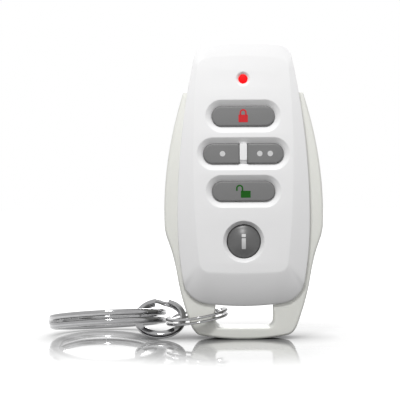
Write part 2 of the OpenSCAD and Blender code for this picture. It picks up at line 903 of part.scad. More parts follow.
// Split rings: two turns of flat wire, with a step from one level to the other
turn_stations = 30;
turn_angle = 360 / turn_stations;
step_from = 330;
step_to = 360;
wire_end = 684;
wire_stations = wire_end / turn_angle;
wire_sides = 6;
// Share of the wire's thickness taken by each blunt edge
wire_blunt = 0.4;

// Level of the wire at an angle along it, from -1 on the lower turn to 1 on the upper
function wire_level(a) =
    let (t = min(max((a - step_from) / (step_to - step_from), 0), 1))
    2 * t * t * (3 - 2 * t) - 1;

// Six-sided section of the flat wire, blunt at its edges
function wire_section(w, t) =
    let (x = w / 2 - t * wire_blunt, y = t / 2)
    [[-w / 2, 0], [-x, -y], [x, -y], [w / 2, 0], [x, y], [-x, y]];

function ring_points(d, w, t) =
    let (r = (d - w) / 2, lift = (t + turn_gap) / 2)
    [
        for (i = [0 : wire_stations], p = wire_section(w, t))
            let (a = i * turn_angle)
            [(r + p.x) * cos(a), (r + p.x) * sin(a), p.y + lift * wire_level(a)]
    ];

// Least distance between the points of one turn and those of the other
function least_gap(points) =
    let (near = 4)
    min([
        for (i = [0 : wire_stations - turn_stations + near], k = [-near : near])
            let (j = i + turn_stations + k)
            if (j <= wire_stations)
                for (a = [0 : wire_sides - 1], b = [0 : wire_sides - 1])
                    norm(points[i * wire_sides + a] - points[j * wire_sides + b])
    ]);

module split_ring(d, w, t) {
    n = wire_sides;
    points = ring_points(d, w, t);
    last = wire_stations * n;
    ends = [for (i = [1 : n - 2]) each [[0, i + 1, i], [last, last + i, last + i + 1]]];
    sides = [
        for (s = [0 : wire_stations - 1], i = [0 : n - 1])
            let (a = s * n + i, b = s * n + (i + 1) % n)
            each [[a, b, b + n], [a, b + n, a + n]]
    ];
    echo(ring_diameter = d, least_gap_between_turns = least_gap(points));
    polyhedron(points = points, faces = concat(ends, sides), convexity = 6);
}

// Where the rings lie: round the leg, linked to each other, and down to the surface under the foot
small_ring_h = 2 * small_wire_t + turn_gap;
key_ring_h = 2 * key_wire_t + turn_gap;
link_mid_r = (link_ring_d - small_wire_w) / 2;
key_mid_r = (key_ring_d - key_wire_w) / 2;
loop_tilt = [2, -9, 0];
link_tilt = [39, -3.5, 6.5];
key_tilt = [-8, -3, 0];
// Where each ring's wire starts, as an angle round the ring
loop_start = 60;
link_start = 100;
key_start = 200;

// The loop ring goes round the leg, whose edges towards the slot are the farthest from the ring's middle
leg_reach = foot_corner_x - slot_half_w - leg_hang;
leg_corner = [leg_reach - slot_edge_r, frame_half - slot_edge_r];
loop_inner_r = norm(leg_corner) + slot_edge_r + ring_gap;
loop_mid_r = loop_inner_r + small_wire_w / 2;
loop_ring_x = -slot_half_w - leg_reach;
loop_ring_z = bar_h + leg_lift;
loop_left = loop_ring_x - loop_mid_r;
link_x = loop_left + link_bite - link_mid_r;
link_z = link_ring_d / 2 * sin(link_tilt.x) + small_ring_h / 2 * cos(link_tilt.x) + floor_gap;
key_ring_x = loop_left - ring_spacing - key_mid_r;
key_ring_z = key_ring_d / 2 * sin(norm(key_tilt)) + key_ring_h / 2 + floor_gap;

// A split ring in its place, tilted, with its wire starting at an angle round it
module placed_ring(place, tilt, start, d, w, t) {
    color([0.75, 0.75, 0.77])
        translate(place)
            rotate(tilt)
                rotate([0, 0, start])
                    split_ring(d, w, t);
}

module loop_ring() {
    d = 2 * (loop_inner_r + small_wire_w);
    place = [loop_ring_x, 0, loop_ring_z];
    placed_ring(place, loop_tilt, loop_start, d, small_wire_w, small_wire_t);
}

module link_ring() {
    place = [link_x, link_back, link_z];
    placed_ring(place, link_tilt, link_start, link_ring_d, small_wire_w, small_wire_t);
}

module key_ring() {
    place = [key_ring_x, key_ring_back, key_ring_z];
    placed_ring(place, key_tilt, key_start, key_ring_d, key_wire_w, key_wire_t);
}

front_cover();
rear_cover();
loop_frame();
arm_key();
option_one_key();
option_two_key();
disarm_key();
info_key();
arm_switch();
option_one_switch();
option_two_switch();
disarm_switch();
info_switch();
arm_stem();
option_one_stem();
option_two_stem();
disarm_stem();
info_stem();
indicator_lens();
indicator_led();
circuit_board();
controller_chip();
radio_chip();
crystal();
antenna();
coin_cell();
battery_clip();
battery_contact();
case_screws();
loop_ring();
link_ring();
key_ring();
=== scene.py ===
"""Looks of an alarm key fob: smooth covers, a frosted loop frame, printed keys and bright split rings."""

import logging
import math
from collections.abc import Callable
from dataclasses import dataclass, field, replace
from enum import Enum

import bpy
import numpy as np
from mathutils import Euler, Matrix, Vector
from mathutils.geometry import tessellate_polygon


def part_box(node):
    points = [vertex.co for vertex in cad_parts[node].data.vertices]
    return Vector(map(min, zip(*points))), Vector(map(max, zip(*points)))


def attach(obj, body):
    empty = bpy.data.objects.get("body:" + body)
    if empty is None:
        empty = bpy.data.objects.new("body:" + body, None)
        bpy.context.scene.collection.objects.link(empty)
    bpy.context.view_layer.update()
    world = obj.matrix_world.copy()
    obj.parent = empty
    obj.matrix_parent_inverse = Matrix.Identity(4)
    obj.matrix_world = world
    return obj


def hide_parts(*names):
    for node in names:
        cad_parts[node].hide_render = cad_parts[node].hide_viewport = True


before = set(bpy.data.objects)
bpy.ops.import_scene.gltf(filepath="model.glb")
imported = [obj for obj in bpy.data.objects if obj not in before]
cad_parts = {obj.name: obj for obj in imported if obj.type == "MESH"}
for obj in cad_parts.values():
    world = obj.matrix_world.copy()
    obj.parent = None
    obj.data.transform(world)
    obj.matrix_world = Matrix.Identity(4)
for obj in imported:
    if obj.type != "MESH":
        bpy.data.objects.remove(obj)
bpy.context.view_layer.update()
MM = 0.001
QUARTER = math.pi / 2
LOG = logging.getLogger("fob")
# Wall of both covers, and how far each stays from the plane where they meet, in millimetres.
WALL = 1.8
SEAM = 0.03

# An outline is an array of (x, z) points in millimetres, counter-clockwise as seen from the front.
Outline = np.ndarray
# A section is a row of points, each a distance outwards and a distance in front of the parting plane.
Section = list[tuple[float, float]]
Number = float | np.ndarray
Triple = tuple[float, float, float]
Places = tuple[tuple[float, float], ...]
Socket = bpy.types.NodeSocket


class Slot(Enum):
    """The record's material slots."""

    WHITE = "white_cover"
    FROSTED = "frosted_frame"
    GREY_KEY = "grey_key"
    GLOSS_KEY = "gloss_key"
    SWITCH = "switch_black"
    STEM = "switch_stem"
    LENS = "red_lens"
    DIODE = "diode"
    BOARD = "board_green"
    CHIP = "chip_black"
    CAN = "can_metal"
    COPPER = "copper"
    CELL = "cell_metal"
    SPRING = "spring_metal"
    SCREW = "screw_steel"
    CHROME = "ring_chrome"


class Side(Enum):
    """Which of the two option keys, by the sign of its x."""

    LEFT = -1
    RIGHT = 1


# Outlines


def pairs(x: Number, z: Number) -> np.ndarray:
    """Puts two coordinates side by side, as points."""
    return np.stack(np.broadcast_arrays(x, z), 1)


def meet(a: np.ndarray, da: np.ndarray, b: np.ndarray, db: np.ndarray) -> np.ndarray:
    """Finds where the line through a along da crosses the line through b along db."""
    across = (b[0] - a[0]) * db[1] - (b[1] - a[1]) * db[0]
    return a + da * across / (da[0] * db[1] - da[1] * db[0])


def curve(a: np.ndarray, p: np.ndarray, q: np.ndarray, b: np.ndarray, steps: int) -> np.ndarray:
    """Samples a cubic curve from a to b with the handles p and q, without its first point."""
    t = np.linspace(0, 1, steps + 1)[1:, None]
    return (1 - t) ** 3 * a + 3 * (1 - t) ** 2 * t * p + 3 * (1 - t) * t * t * q + t**3 * b


def bend(a: np.ndarray, handle: np.ndarray, b: np.ndarray, steps: int) -> np.ndarray:
    """Samples a quadratic curve from a to b, drawn towards the handle, with both its ends."""
    t = np.linspace(0, 1, steps + 1)[:, None]
    return (1 - t) ** 2 * a + 2 * t * (1 - t) * handle + t * t * b


def rounded(a: np.ndarray, corner: np.ndarray, b: np.ndarray, steps: int, pull: float = 0.56) -> np.ndarray:
    """Rounds the corner where the tangents at a and b meet, and gives the points after a, ending at b."""
    return curve(a, a + (corner - a) * pull, b + (corner - b) * pull, b, steps)


def whole(half: np.ndarray) -> Outline:
    """Joins a right half, which starts at the middle, to its mirror image."""
    return np.concatenate([half, half[::-1] * (-1, 1)])


def inset(outline: Outline, amount: Number) -> Outline:
    """Moves an outline inwards along its own normals.

    Args:
        outline: The outline.
        amount: Distance in millimetres, one for all points or one for each.

    Returns:
        The moved outline.
    """
    ahead = np.roll(outline, -1, 0) - outline
    behind = outline - np.roll(outline, 1, 0)
    along = sum(way / np.linalg.norm(way, axis=1)[:, None] for way in (ahead, behind))
    along /= np.linalg.norm(along, axis=1)[:, None]
    return outline + pairs(-along[:, 1], along[:, 0]) * np.reshape(amount, (-1, 1))


def arc(x: float, z: float, radius: float, start: float, end: float, steps: int) -> np.ndarray:
    """Samples an arc round (x, z), from one angle to another, with both its ends."""
    a = np.linspace(start, end, steps)
    return pairs(x + radius * np.cos(a), z + radius * np.sin(a))


def ring_outline(radius: float, x: float, z: float, steps: int = 72) -> Outline:
    """Draws a circle round (x, z)."""
    return arc(x, z, radius, 0, 4 * QUARTER, steps + 1)[:-1]


def pill_outline(length: float, width: float, grow: float, z: float, steps: int = 36) -> Outline:
    """Draws a bar with round ends, moved outwards by grow, with its middle at the height z."""
    end = arc((length - width) / 2, 0, width / 2 + grow, -QUARTER, QUARTER, steps)
    return np.concatenate([end, -end]) + (0, z)


def box_outline(x0: float, z0: float, x1: float, z1: float, corner: float, steps: int = 6) -> Outline:
    """Draws a rectangle with round corners.

    Args:
        x0: Left side.
        z0: Lower side.
        x1: Right side.
        z1: Upper side.
        corner: Corner radius.
        steps: Points on each corner.

    Returns:
        The outline.
    """
    left, right, low, high = x0 + corner, x1 - corner, z0 + corner, z1 - corner
    corners = []
    for i, (x, z) in enumerate(((right, low), (right, high), (left, high), (left, low))):
        corners.append(arc(x, z, corner, (i - 1) * QUARTER, i * QUARTER, steps))
    return np.concatenate(corners)


def dense(outline: Outline, step: float) -> Outline:
    """Adds points along the straight stretches of an outline.

    Args:
        outline: The outline.
        step: Largest distance between two points.

    Returns:
        The same outline with more points.
    """
    points = []
    for a, b in zip(outline, np.roll(outline, -1, 0)):
        count = max(1, math.ceil(np.linalg.norm(b - a) / step))
        points += [a + (b - a) * i / count for i in range(count)]
    return np.array(points)


@dataclass(frozen=True)
class Shield:
    """A shape with bowed sides, a bowed lower edge and a bowed top edge, all meeting in rounded corners.

    Its sides are widest at waist_z; the radii say how much each edge bows.
    """

    base_z: float
    base_r: float
    top_z: float
    top_r: float
    waist_z: float
    half_w: float
    upper_r: float
    lower_r: float
    low_corner: float
    top_corner: float

    def base(self, x: Number) -> Number:
        """Gives the height of the lower edge."""
        return self.base_z + x**2 / (2 * self.base_r)

    def top(self, x: Number) -> Number:
        """Gives the height of the top edge."""
        return self.top_z - x**2 / (2 * self.top_r)

    def side_r(self, z: Number) -> np.ndarray:
        """Gives the side's radius at a height."""
        return np.where(z > self.waist_z, self.upper_r, self.lower_r)

    def width(self, z: Number) -> Number:
        """Gives the half width at a height, without the corners."""
        return self.half_w - (z - self.waist_z) ** 2 / (2 * self.side_r(z))

    def lean(self, z: float) -> np.ndarray:
        """Gives the direction of the side at a height."""
        return np.array([-(z - self.waist_z) / self.side_r(z), 1.0])

    def outline(self, edge: int = 20, corner: int = 14, side: int = 44) -> Outline:
        """Draws the shape.

        Args:
            edge: Points on half the lower edge, and on half the top edge.
            corner: Points on each corner.
            side: Points on each side.

        Returns:
            The outline.
        """
        low_z = self.base(self.width(self.base_z)) + self.low_corner
        low_x = self.width(low_z - self.low_corner) - self.low_corner
        high_z = self.top(self.width(self.top_z)) - self.top_corner
        high_x = self.width(high_z + self.top_corner) - self.top_corner
        a = np.array([low_x, self.base(low_x)])
        b = np.array([self.width(low_z), low_z])
        c = np.array([self.width(high_z), high_z])
        d = np.array([high_x, self.top(high_x)])
        base_x = low_x * (np.arange(edge) + 0.5) / edge
        top_x = high_x * (np.arange(edge)[::-1] + 0.5) / edge
        rise = np.linspace(low_z, high_z, side + 1)[1:]
        return whole(np.concatenate([
            pairs(base_x, self.base(base_x)),
            [a],
            rounded(a, meet(a, np.array([1, low_x / self.base_r]), b, self.lean(low_z)), b, corner),
            pairs(self.width(rise), rise),
            rounded(c, meet(c, self.lean(high_z), d, np.array([-1, high_x / self.top_r])), d, corner),
            pairs(top_x, self.top(top_x)),
        ]))


COVER = Shield(
    base_z=7.2, base_r=57, top_z=63.3, top_r=59, waist_z=26,
    half_w=14.1, upper_r=155, lower_r=78, low_corner=3.8, top_corner=2.2,
)
FACE = Shield(
    base_z=14.4, base_r=114, top_z=60.4, top_r=59, waist_z=38.5,
    half_w=10.6, upper_r=200, lower_r=200, low_corner=1.8, top_corner=1.8,
)


def middle_z(node: str) -> float:
    """Gives the height of the middle of a CAD node in millimetres."""
    low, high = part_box(node)
    return ((low + high) / 2 / MM).z


# Finishes


class Graph:
    """A short way to build a node tree."""

    def __init__(self, tree: bpy.types.NodeTree) -> None:
        """Takes a tree and empties it."""
        self.tree = tree
        tree.nodes.clear()

    def plug(self, value: object, socket: Socket) -> None:
        """Links a socket to another one, or sets its value.

        Args:
            value: The other socket, or the value.
            socket: The socket.
        """
        if isinstance(value, Socket):
            self.tree.links.new(value, socket)
        else:
            socket.default_value = value

    def add(self, kind: str, **inputs: object) -> bpy.types.Node:
        """Adds a node.

        Args:
            kind: The node's type.
            inputs: Values or sockets for its inputs, with _ for spaces, and values for its own properties.

        Returns:
            The node.
        """
        node = self.tree.nodes.new(kind)
        for key, value in inputs.items():
            if hasattr(node, key):
                setattr(node, key, value)
            else:
                self.plug(value, node.inputs[key.replace("_", " ")])
        return node

    def feed(self, kind: str, *values: object, **properties: object) -> Socket:
        """Adds a node whose inputs are given in order.

        Args:
            kind: The node's type.
            values: Values or sockets for its inputs.
            properties: Values for its own properties.

        Returns:
            Its first output.
        """
        node = self.add(kind, **properties)
        for value, socket in zip(values, node.inputs):
            self.plug(value, socket)
        return node.outputs[0]

    def math(self, operation: str, *values: object) -> Socket:
        """Adds a sum of numbers or sockets."""
        return self.feed("ShaderNodeMath", *values, operation=operation)

    def mix(self, factor: object, a: object, b: object) -> Socket:
        """Blends two colours.

        Args:
            factor: Share of the second colour.
            a: First colour.
            b: Second colour.

        Returns:
            The blend.
        """
        node = self.add("ShaderNodeMix", data_type="RGBA")
        share, first, second = node.inputs[0], node.inputs[6], node.inputs[7]
        self.plug(factor, share)
        for colour, socket in ((a, first), (b, second)):
            self.plug(colour if isinstance(colour, Socket) else (*colour, 1.0), socket)
        return node.outputs[2]

    def output(self, shader: Socket, kind: str = "ShaderNodeOutputMaterial") -> None:
        """Joins a shader to the tree's output."""
        self.add(kind, Surface=shader)


def uneven_group(name: str, detail: float, least: float, most: float, broad: float) -> bpy.types.NodeTree:
    """Builds a group that makes a colour and a roughness uneven and gives a height for bumps.

    Args:
        name: Its name.
        detail: Detail of its pattern.
        least: Share of the roughness that is always there.
        most: Share of the roughness that the pattern adds at most.
        broad: Scale of a broader pattern that the colour follows, as a share of the pattern's; 0 for none.

    Returns:
        The group.
    """
    tree = bpy.data.node_groups.new(name, "ShaderNodeTree")
    both = {"Color": "Color", "Roughness": "Float"}
    for way, more in (("INPUT", {"Swing": "Float", "Stretch": "Vector"}), ("OUTPUT", {"Height": "Float"})):
        for socket, kind in (both | more).items():
            tree.interface.new_socket(name=socket, in_out=way, socket_type="NodeSocket" + kind)
    g = Graph(tree)
    given = g.add("NodeGroupInput").outputs
    where = g.add("ShaderNodeTexCoord").outputs["Object"]
    drawn = g.feed("ShaderNodeVectorMath", where, given["Stretch"], operation="MULTIPLY")
    fine = g.add("ShaderNodeTexNoise", Vector=drawn, Scale=1.0, Detail=detail).outputs["Fac"]
    tone = fine
    if broad:
        tone = g.add("ShaderNodeTexNoise", Vector=drawn, Scale=broad).outputs["Fac"]
    shade = g.math("MULTIPLY_ADD", g.math("SUBTRACT", tone, 0.5), given["Swing"], 1.0)
    tinted = g.add("ShaderNodeVectorMath", operation="SCALE", Vector=given["Color"], Scale=shade).outputs[0]
    rough = g.math("MULTIPLY", given["Roughness"], g.math("MULTIPLY_ADD", fine, most, least))
    g.add("NodeGroupOutput", Color=tinted, Roughness=rough, Height=fine)
    return tree


GRAIN = uneven_group("MouldedGrain", detail=4.0, least=0.85, most=0.3, broad=0.06)
LINES = uneven_group("DrawnLines", detail=5.0, least=0.6, most=0.8, broad=0.0)


def blank(name: str) -> tuple[bpy.types.Material, Graph]:
    """Starts a material with an empty tree.

    Args:
        name: Its name.

    Returns:
        The material and its graph.
    """
    made = bpy.data.materials.new(name)
    made.use_nodes = True
    return made, Graph(made.node_tree)


@dataclass(frozen=True)
class Finish:
    """A finish, which is moulded plastic unless its own class says otherwise; depths in metres.

    Its material has the slot's name, unless it has its own. Swing says how uneven its colour is, and edge
    how much painted shade darkens its colour where it turns away from the view.
    """

    slot: Slot
    colour: Triple
    roughness: float
    own_name: str = ""
    swing: float = 0.06
    grain: float = 4000.0
    bump: float = 0.02
    bump_depth: float = 0.0001
    specular: float = 0.5
    scatter: float = 0.0
    scatter_spread: Triple = (1.0, 1.0, 0.9)
    scatter_depth: float = 0.001
    # Painted shade: edge darkens the colour where the surface turns away from the view.
    edge: float = 0.0
    edge_shade_blend: float = 0.3
    edge_shade_tone: float = 0.3
    group = GRAIN

    def scales(self) -> Triple:
        """Gives the scale of its pattern along each axis."""
        return (self.grain,) * 3

    def tone(self, g: Graph, plain: Socket) -> Socket:
        """Gives the base colour.

        Args:
            g: The material's graph.
            plain: The uneven colour.

        Returns:
            The same, or darkened by painted shade where it turns away from the view.
        """
        if not self.edge:
            return plain
        # Painted shade: the colour runs towards a darker copy of itself where the surface turns away from the
        # view.
        facing = g.add("ShaderNodeLayerWeight", Blend=self.edge_shade_blend).outputs["Facing"]
        edge_shade_colour = tuple(self.edge_shade_tone * c for c in self.colour)
        return g.mix(g.math("MULTIPLY", facing, self.edge), plain, edge_shade_colour)

    def extras(self, g: Graph) -> dict[str, object]:
        """Gives the shader's other inputs.

        Args:
            g: The material's graph.

        Returns:
            A value or a socket for each.
        """
        return {
            "Specular_IOR_Level": self.specular,
            "Subsurface_Weight": self.scatter,
            "Subsurface_Radius": self.scatter_spread,
            "Subsurface_Scale": self.scatter_depth,
        }

    def material(self) -> bpy.types.Material:
        """Builds the material.

        Returns:
            The material.
        """
        made, g = blank(self.own_name or self.slot.value)
        uneven = g.add("ShaderNodeGroup", node_tree=self.group, Swing=self.swing, Stretch=self.scales())
        g.plug((*self.colour, 1.0), uneven.inputs["Color"])
        g.plug(self.roughness, uneven.inputs["Roughness"])
        colour, rough, height = uneven.outputs
        bump = g.add("ShaderNodeBump", Strength=self.bump, Distance=self.bump_depth, Height=height)
        inputs = {"Base_Color": self.tone(g, colour), "Roughness": rough, "Normal": bump.outputs[0]}
        shader = g.add("ShaderNodeBsdfPrincipled", **inputs, **self.extras(g))
        g.output(shader.outputs[0])
        return made


@dataclass(frozen=True)
class Metal(Finish):
    """A bare or plated metal, with drawn lines in place of a grain."""

    swing: float = 0.15
    stretch: Triple = (400.0, 400.0, 9000.0)
    bump: float = 0.03
    bump_depth: float = 0.00005
    group = LINES

    def scales(self) -> Triple:
        """Gives the scale of its pattern along each axis."""
        return self.stretch

    def extras(self, g: Graph) -> dict[str, object]:
        """Gives the shader's other inputs."""
        return {"Metallic": 1.0}


@dataclass(frozen=True)
class Lens(Finish):
    """A clear plastic with light behind it, which is weaker at the rim."""

    glow: Triple = (1.0, 0.006, 0.009)
    strength: float = 0.75
    rim_blend: float = 0.4
    rim_tone: float = 0.7

    def extras(self, g: Graph) -> dict[str, object]:
        """Gives the shader's other inputs.

        Args:
            g: The material's graph.

        Returns:
            A value or a socket for each.
        """
        rim = g.add("ShaderNodeLayerWeight", Blend=self.rim_blend).outputs["Facing"]
        light = g.mix(rim, self.glow, tuple(self.rim_tone * c for c in self.glow))
        return super().extras(g) | {"Emission_Color": light, "Emission_Strength": self.strength}


@dataclass(frozen=True)
class Board(Finish):
    """Solder resist over copper tracks."""

    track: Triple = (0.05, 0.24, 0.1)
    pitch: float = 700.0
    track_w: float = 0.03

    def tone(self, g: Graph, plain: Socket) -> Socket:
        """Gives the base colour.

        Args:
            g: The material's graph.
            plain: The uneven colour.

        Returns:
            The same with tracks over it.
        """
        where = g.add("ShaderNodeTexCoord").outputs["Object"]
        flat = g.add("ShaderNodeMapping", Vector=where, Rotation=(QUARTER, 0, 0)).outputs[0]
        tracks = g.add("ShaderNodeTexBrick", Vector=flat, Scale=self.pitch, Mortar_Size=self.track_w)
        return g.mix(tracks.outputs["Fac"], plain, self.track)


WHITE = Finish(Slot.WHITE, (0.845, 0.843, 0.846), 0.35, swing=0.02, grain=6000, bump=0.01)
# edge=0.3 paints shade on the frosted frame where its rims turn away from the view.
FROSTED = Finish(
    Slot.FROSTED, (0.79, 0.793, 0.75), 0.45, swing=0.04, grain=9000, bump=0.05, scatter=0.1, edge=0.3
)
GREY_KEY = Finish(Slot.GREY_KEY, (0.17, 0.17, 0.17), 0.5, grain=8000, bump=0.03)
GLOSS_KEY = Finish(Slot.GLOSS_KEY, (0.11, 0.11, 0.11), 0.36, swing=0.05, grain=5000, bump=0.005)
SWITCH = Finish(Slot.SWITCH, (0.03, 0.03, 0.032), 0.45, swing=0.2)
STEM = Finish(Slot.STEM, (0.55, 0.5, 0.38), 0.4, swing=0.1)
LENS = Lens(Slot.LENS, (0.4, 0.004, 0.006), 0.5, swing=0.1, specular=0.1)
DIODE = Finish(Slot.DIODE, (0.85, 0.82, 0.7), 0.25, swing=0.1)
BOARD = Board(Slot.BOARD, (0.02, 0.15, 0.06), 0.35, swing=0.15)
CHIP = Finish(Slot.CHIP, (0.02, 0.02, 0.021), 0.55, swing=0.25)
PALE_PRINT = Finish(Slot.GREY_KEY, (0.6, 0.6, 0.6), 0.45, "pale_print", swing=0.08, grain=12000)
LETTER_PRINT = replace(PALE_PRINT, slot=Slot.GLOSS_KEY)
RED_PRINT = Finish(
    Slot.GREY_KEY, (0.58, 0.025, 0.032), 0.5, "red_print", swing=0.1, grain=12000, specular=0.15
)
GREEN_PRINT = Finish(
    Slot.GREY_KEY, (0.013, 0.1, 0.01), 0.5, "green_print", swing=0.1, grain=12000, specular=0.1
)
CAN = Metal(Slot.CAN, (0.7, 0.7, 0.72), 0.3)
COPPER = Metal(Slot.COPPER, (0.75, 0.42, 0.2), 0.35)
CELL = Metal(Slot.CELL, (0.65, 0.65, 0.66), 0.28)
SPRING = Metal(Slot.SPRING, (0.7, 0.68, 0.6), 0.3)
SCREW = Metal(Slot.SCREW, (0.5, 0.5, 0.52), 0.32)
CHROME = Metal(
    Slot.CHROME, (0.35, 0.35, 0.355), 0.12, swing=0.25, stretch=(900.0, 900.0, 4000.0), bump=0.05
)


# Meshes


@dataclass
class Shell:
    """A piece in the making: points in millimetres, and the faces between them."""

    points: list[Triple] = field(default_factory=list, init=False)
    faces: list[tuple[int, ...]] = field(default_factory=list, init=False)

    def add(self, points: np.ndarray) -> list[int]:
        """Adds a loop of points of any place and gives their indices."""
        self.points += [tuple(point) for point in points]
        return list(range(len(self.points) - len(points), len(self.points)))

    def loop(self, outline: Outline, out: Number) -> list[int]:
        """Adds an outline at a distance in front of the parting plane, one for all points or one for each."""
        depths = np.broadcast_to(out, len(outline))
        return self.add(np.column_stack([outline[:, 0], -depths, outline[:, 1]]))

    def turned(self, section: Section, x: float, z: float, steps: int = 48) -> list[list[int]]:
        """Adds a circle round (x, z) for each point of a section, whose distances outwards are radii."""
        return [self.loop(ring_outline(r, x, z, steps), out) for r, out in section]

    def bridge(self, a: list[int], b: list[int], flip: bool = False) -> None:
        """Joins two loops of the same length.

        Args:
            a: The loop nearer to the viewer.
            b: The loop behind it.
            flip: True where the faces look towards the middle.
        """
        for i in range(len(a)):
            j = (i + 1) % len(a)
            quad = (a[i], b[i], b[j], a[j])
            self.faces.append(quad[::-1] if flip else quad)

    def stack(self, rows: list[list[int]], flip: bool = False) -> None:
        """Joins loop after loop, as bridge does."""
        for a, b in zip(rows, rows[1:]):
            self.bridge(a, b, flip)

    def fill(self, outer: list[int], holes: tuple[list[int], ...] = (), rear: bool = False) -> None:
        """Closes a loop, leaving holes.

        Args:
            outer: The loop.
            holes: Loops inside it that stay open.
            rear: True where the face looks backwards.
        """
        loops = [outer, *holes]
        indices = [i for loop in loops for i in loop]
        flat = [[Vector((self.points[i][0], self.points[i][2], 0)) for i in loop] for loop in loops]
        for triangle in tessellate_polygon(flat):
            corners = tuple(indices[i] for i in triangle)
            a, b, c = (Vector((self.points[i][0], self.points[i][2])) for i in corners)
            turn = (b - a).cross(c - a)
            self.faces.append(corners if (turn > 0) != rear else corners[::-1])

    def close(self, rows: list[list[int]]) -> None:
        """Joins loop after loop and closes both ends.

        Args:
            rows: The loops, from the front to the rear.
        """
        self.stack(rows)
        self.fill(rows[0])
        self.fill(rows[-1], rear=True)

    def settle(self, name: str, body: str, finish: Finish, *nodes: str, sharp: float = 32.0) -> None:
        """Makes the object in metres, dresses it, ties it to its CAD body, hides the CAD nodes that it stands
        for and logs its faces.

        Args:
            name: The piece's name.
            body: The CAD body that it moves with.
            finish: Its finish.
            nodes: CAD nodes that it stands for.
            sharp: Angle in degrees above which an edge stays sharp.
        """
        mesh = bpy.data.meshes.new(name)
        mesh.from_pydata([Vector(point) * MM for point in self.points], [], self.faces)
        mesh.validate()
        mesh.shade_smooth()
        mesh.set_sharp_from_angle(angle=math.radians(sharp))
        mesh.materials.append(finish.material())
        piece = bpy.data.objects.new(name, mesh)
        bpy.context.scene.collection.objects.link(piece)
        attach(piece, body)
        if nodes:
            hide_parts(*nodes)
        LOG.info("%s: %d faces on %s", piece.name, len(mesh.polygons), body)


# Pieces


@dataclass
class FlatKey(Shell):
    """A flat grey key with a flange inside the cover."""

    node: str
    body: str
    length: float = 13.4
    width: float = 4.25
    top: float = 6.8
    edge_r: float = 0.4
    flange: float = 0.75
    flange_top: float = 4.8
    flange_base: float = 4.1
    finish: Finish = GREY_KEY

    @property
    def z(self) -> float:
        """Gives the height of its middle."""
        return middle_z(self.node)

    def outline(self, grow: float) -> Outline:
        """Draws the key, moved outwards by a distance."""
        return pill_outline(self.length, self.width, grow, self.z)

    def face(self, outline: Outline) -> Number:
        """Gives the distance of its face in front of the parting plane at each point of an outline."""
        return self.top

    def rim(self, out: float, fall: float) -> np.ndarray:
        """Draws the round at the rim of a face that ends at out, towards a corner that lies lower by fall."""
        ends = np.array([-self.edge_r, out]), np.array([0.0, out - self.edge_r])
        return bend(ends[0], np.array([0.0, out - fall]), ends[1], steps=6)

    def section(self) -> Section:
        """Draws the section of its face and rim."""
        return [*self.rim(self.top, 0.0)]

    def build(self) -> None:
        """Builds the key."""
        skirt = [(0.0, self.flange_top), (self.flange, self.flange_top), (self.flange, self.flange_base)]
        self.close([self.loop(self.outline(grow), out) for grow, out in self.section() + skirt])
        self.settle(self.node + "_cap", self.body, self.finish, self.node)


@dataclass
class OptionKey(FlatKey):
    """Half of the option pair: round at its outer end, square at the bar; the length is the pair's."""

    length: float = 17.1
    side: Side = Side.LEFT
    bar: float = 1.6
    corner: float = 0.45
    least_corner: float = 0.05

    def outline(self, grow: float) -> Outline:
        """Draws the key.

        Args:
            grow: Distance outwards.

        Returns:
            The outline.
        """
        radius = self.width / 2 + grow
        soft = max(self.corner + grow, self.least_corner)
        start = self.bar / 2 - min(grow, 0.0)
        end = arc((self.length - self.width) / 2, 0, radius, -QUARTER, QUARTER, steps=32)
        upper = arc(start + soft, radius - soft, soft, QUARTER, 2 * QUARTER, steps=6)
        shape = np.concatenate([end, upper, upper[::-1] * (1, -1)])
        if self.side is Side.LEFT:
            shape = shape[::-1] * (-1, 1)
        return shape + (0, self.z)


@dataclass
class InfoKey(FlatKey):
    """The round domed key; the first circle of its dome has the radius tip_r."""

    top: float = 7.3
    finish: Finish = GLOSS_KEY
    radius: float = 3.5
    dome: float = 1.0
    tip_r: float = 0.2
    rim_fall: float = 0.12

    def height(self, r: Number) -> Number:
        """Gives the dome's distance in front of the parting plane at a distance from its middle."""
        return self.top - self.dome * (r / (self.radius - self.edge_r)) ** 2

    def outline(self, grow: float) -> Outline:
        """Draws the key, moved outwards by a distance."""
        return ring_outline(self.radius + grow, 0, self.z)

    def face(self, outline: Outline) -> Number:
        """Gives the distance of its face in front of the parting plane at each point of an outline."""
        return self.height(np.hypot(outline[:, 0], outline[:, 1] - self.z))

    def section(self) -> Section:
        """Draws the section of its dome and rim.

        Returns:
            The section, from the dome's tip outwards.
        """
        r = np.linspace(self.tip_r, self.radius - self.edge_r, 14)
        rim = self.rim(self.top - self.dome, self.rim_fall)
        return [*pairs(r - self.radius, self.height(r)), *rim[1:]]


KEYS = (
    FlatKey("arm_key", "arm_button"),
    FlatKey("disarm_key", "disarm_button"),
    OptionKey("option_one_key", "option_one_button", side=Side.LEFT),
    OptionKey("option_two_key", "option_two_button", side=Side.RIGHT),
    InfoKey("info_key", "info_button"),
)


@dataclass
class Lamp(Shell):
    """The lit indicator, a domed red lens; tip is the share of its radius where the dome starts."""

    node: str = "indicator_lens"
    radius: float = 0.95
    dome: float = 0.12
    tip: float = 0.1
    rim_out: float = 6.7
    base_out: float = 4.2

    def outline(self, grow: float) -> Outline:
        """Draws the lens, moved outwards by a distance."""
        return ring_outline(self.radius + grow, 0, middle_z(self.node))

    def build(self) -> None:
        """Builds the lens."""
        s = np.linspace(self.tip, 1, 10)
        dome = pairs(self.radius * s, self.rim_out + self.dome * (1 - s * s))
        self.close(self.turned([*dome, (self.radius, self.base_out)], 0, middle_z(self.node)))
        self.settle("indicator_dome", "case", LENS, self.node)


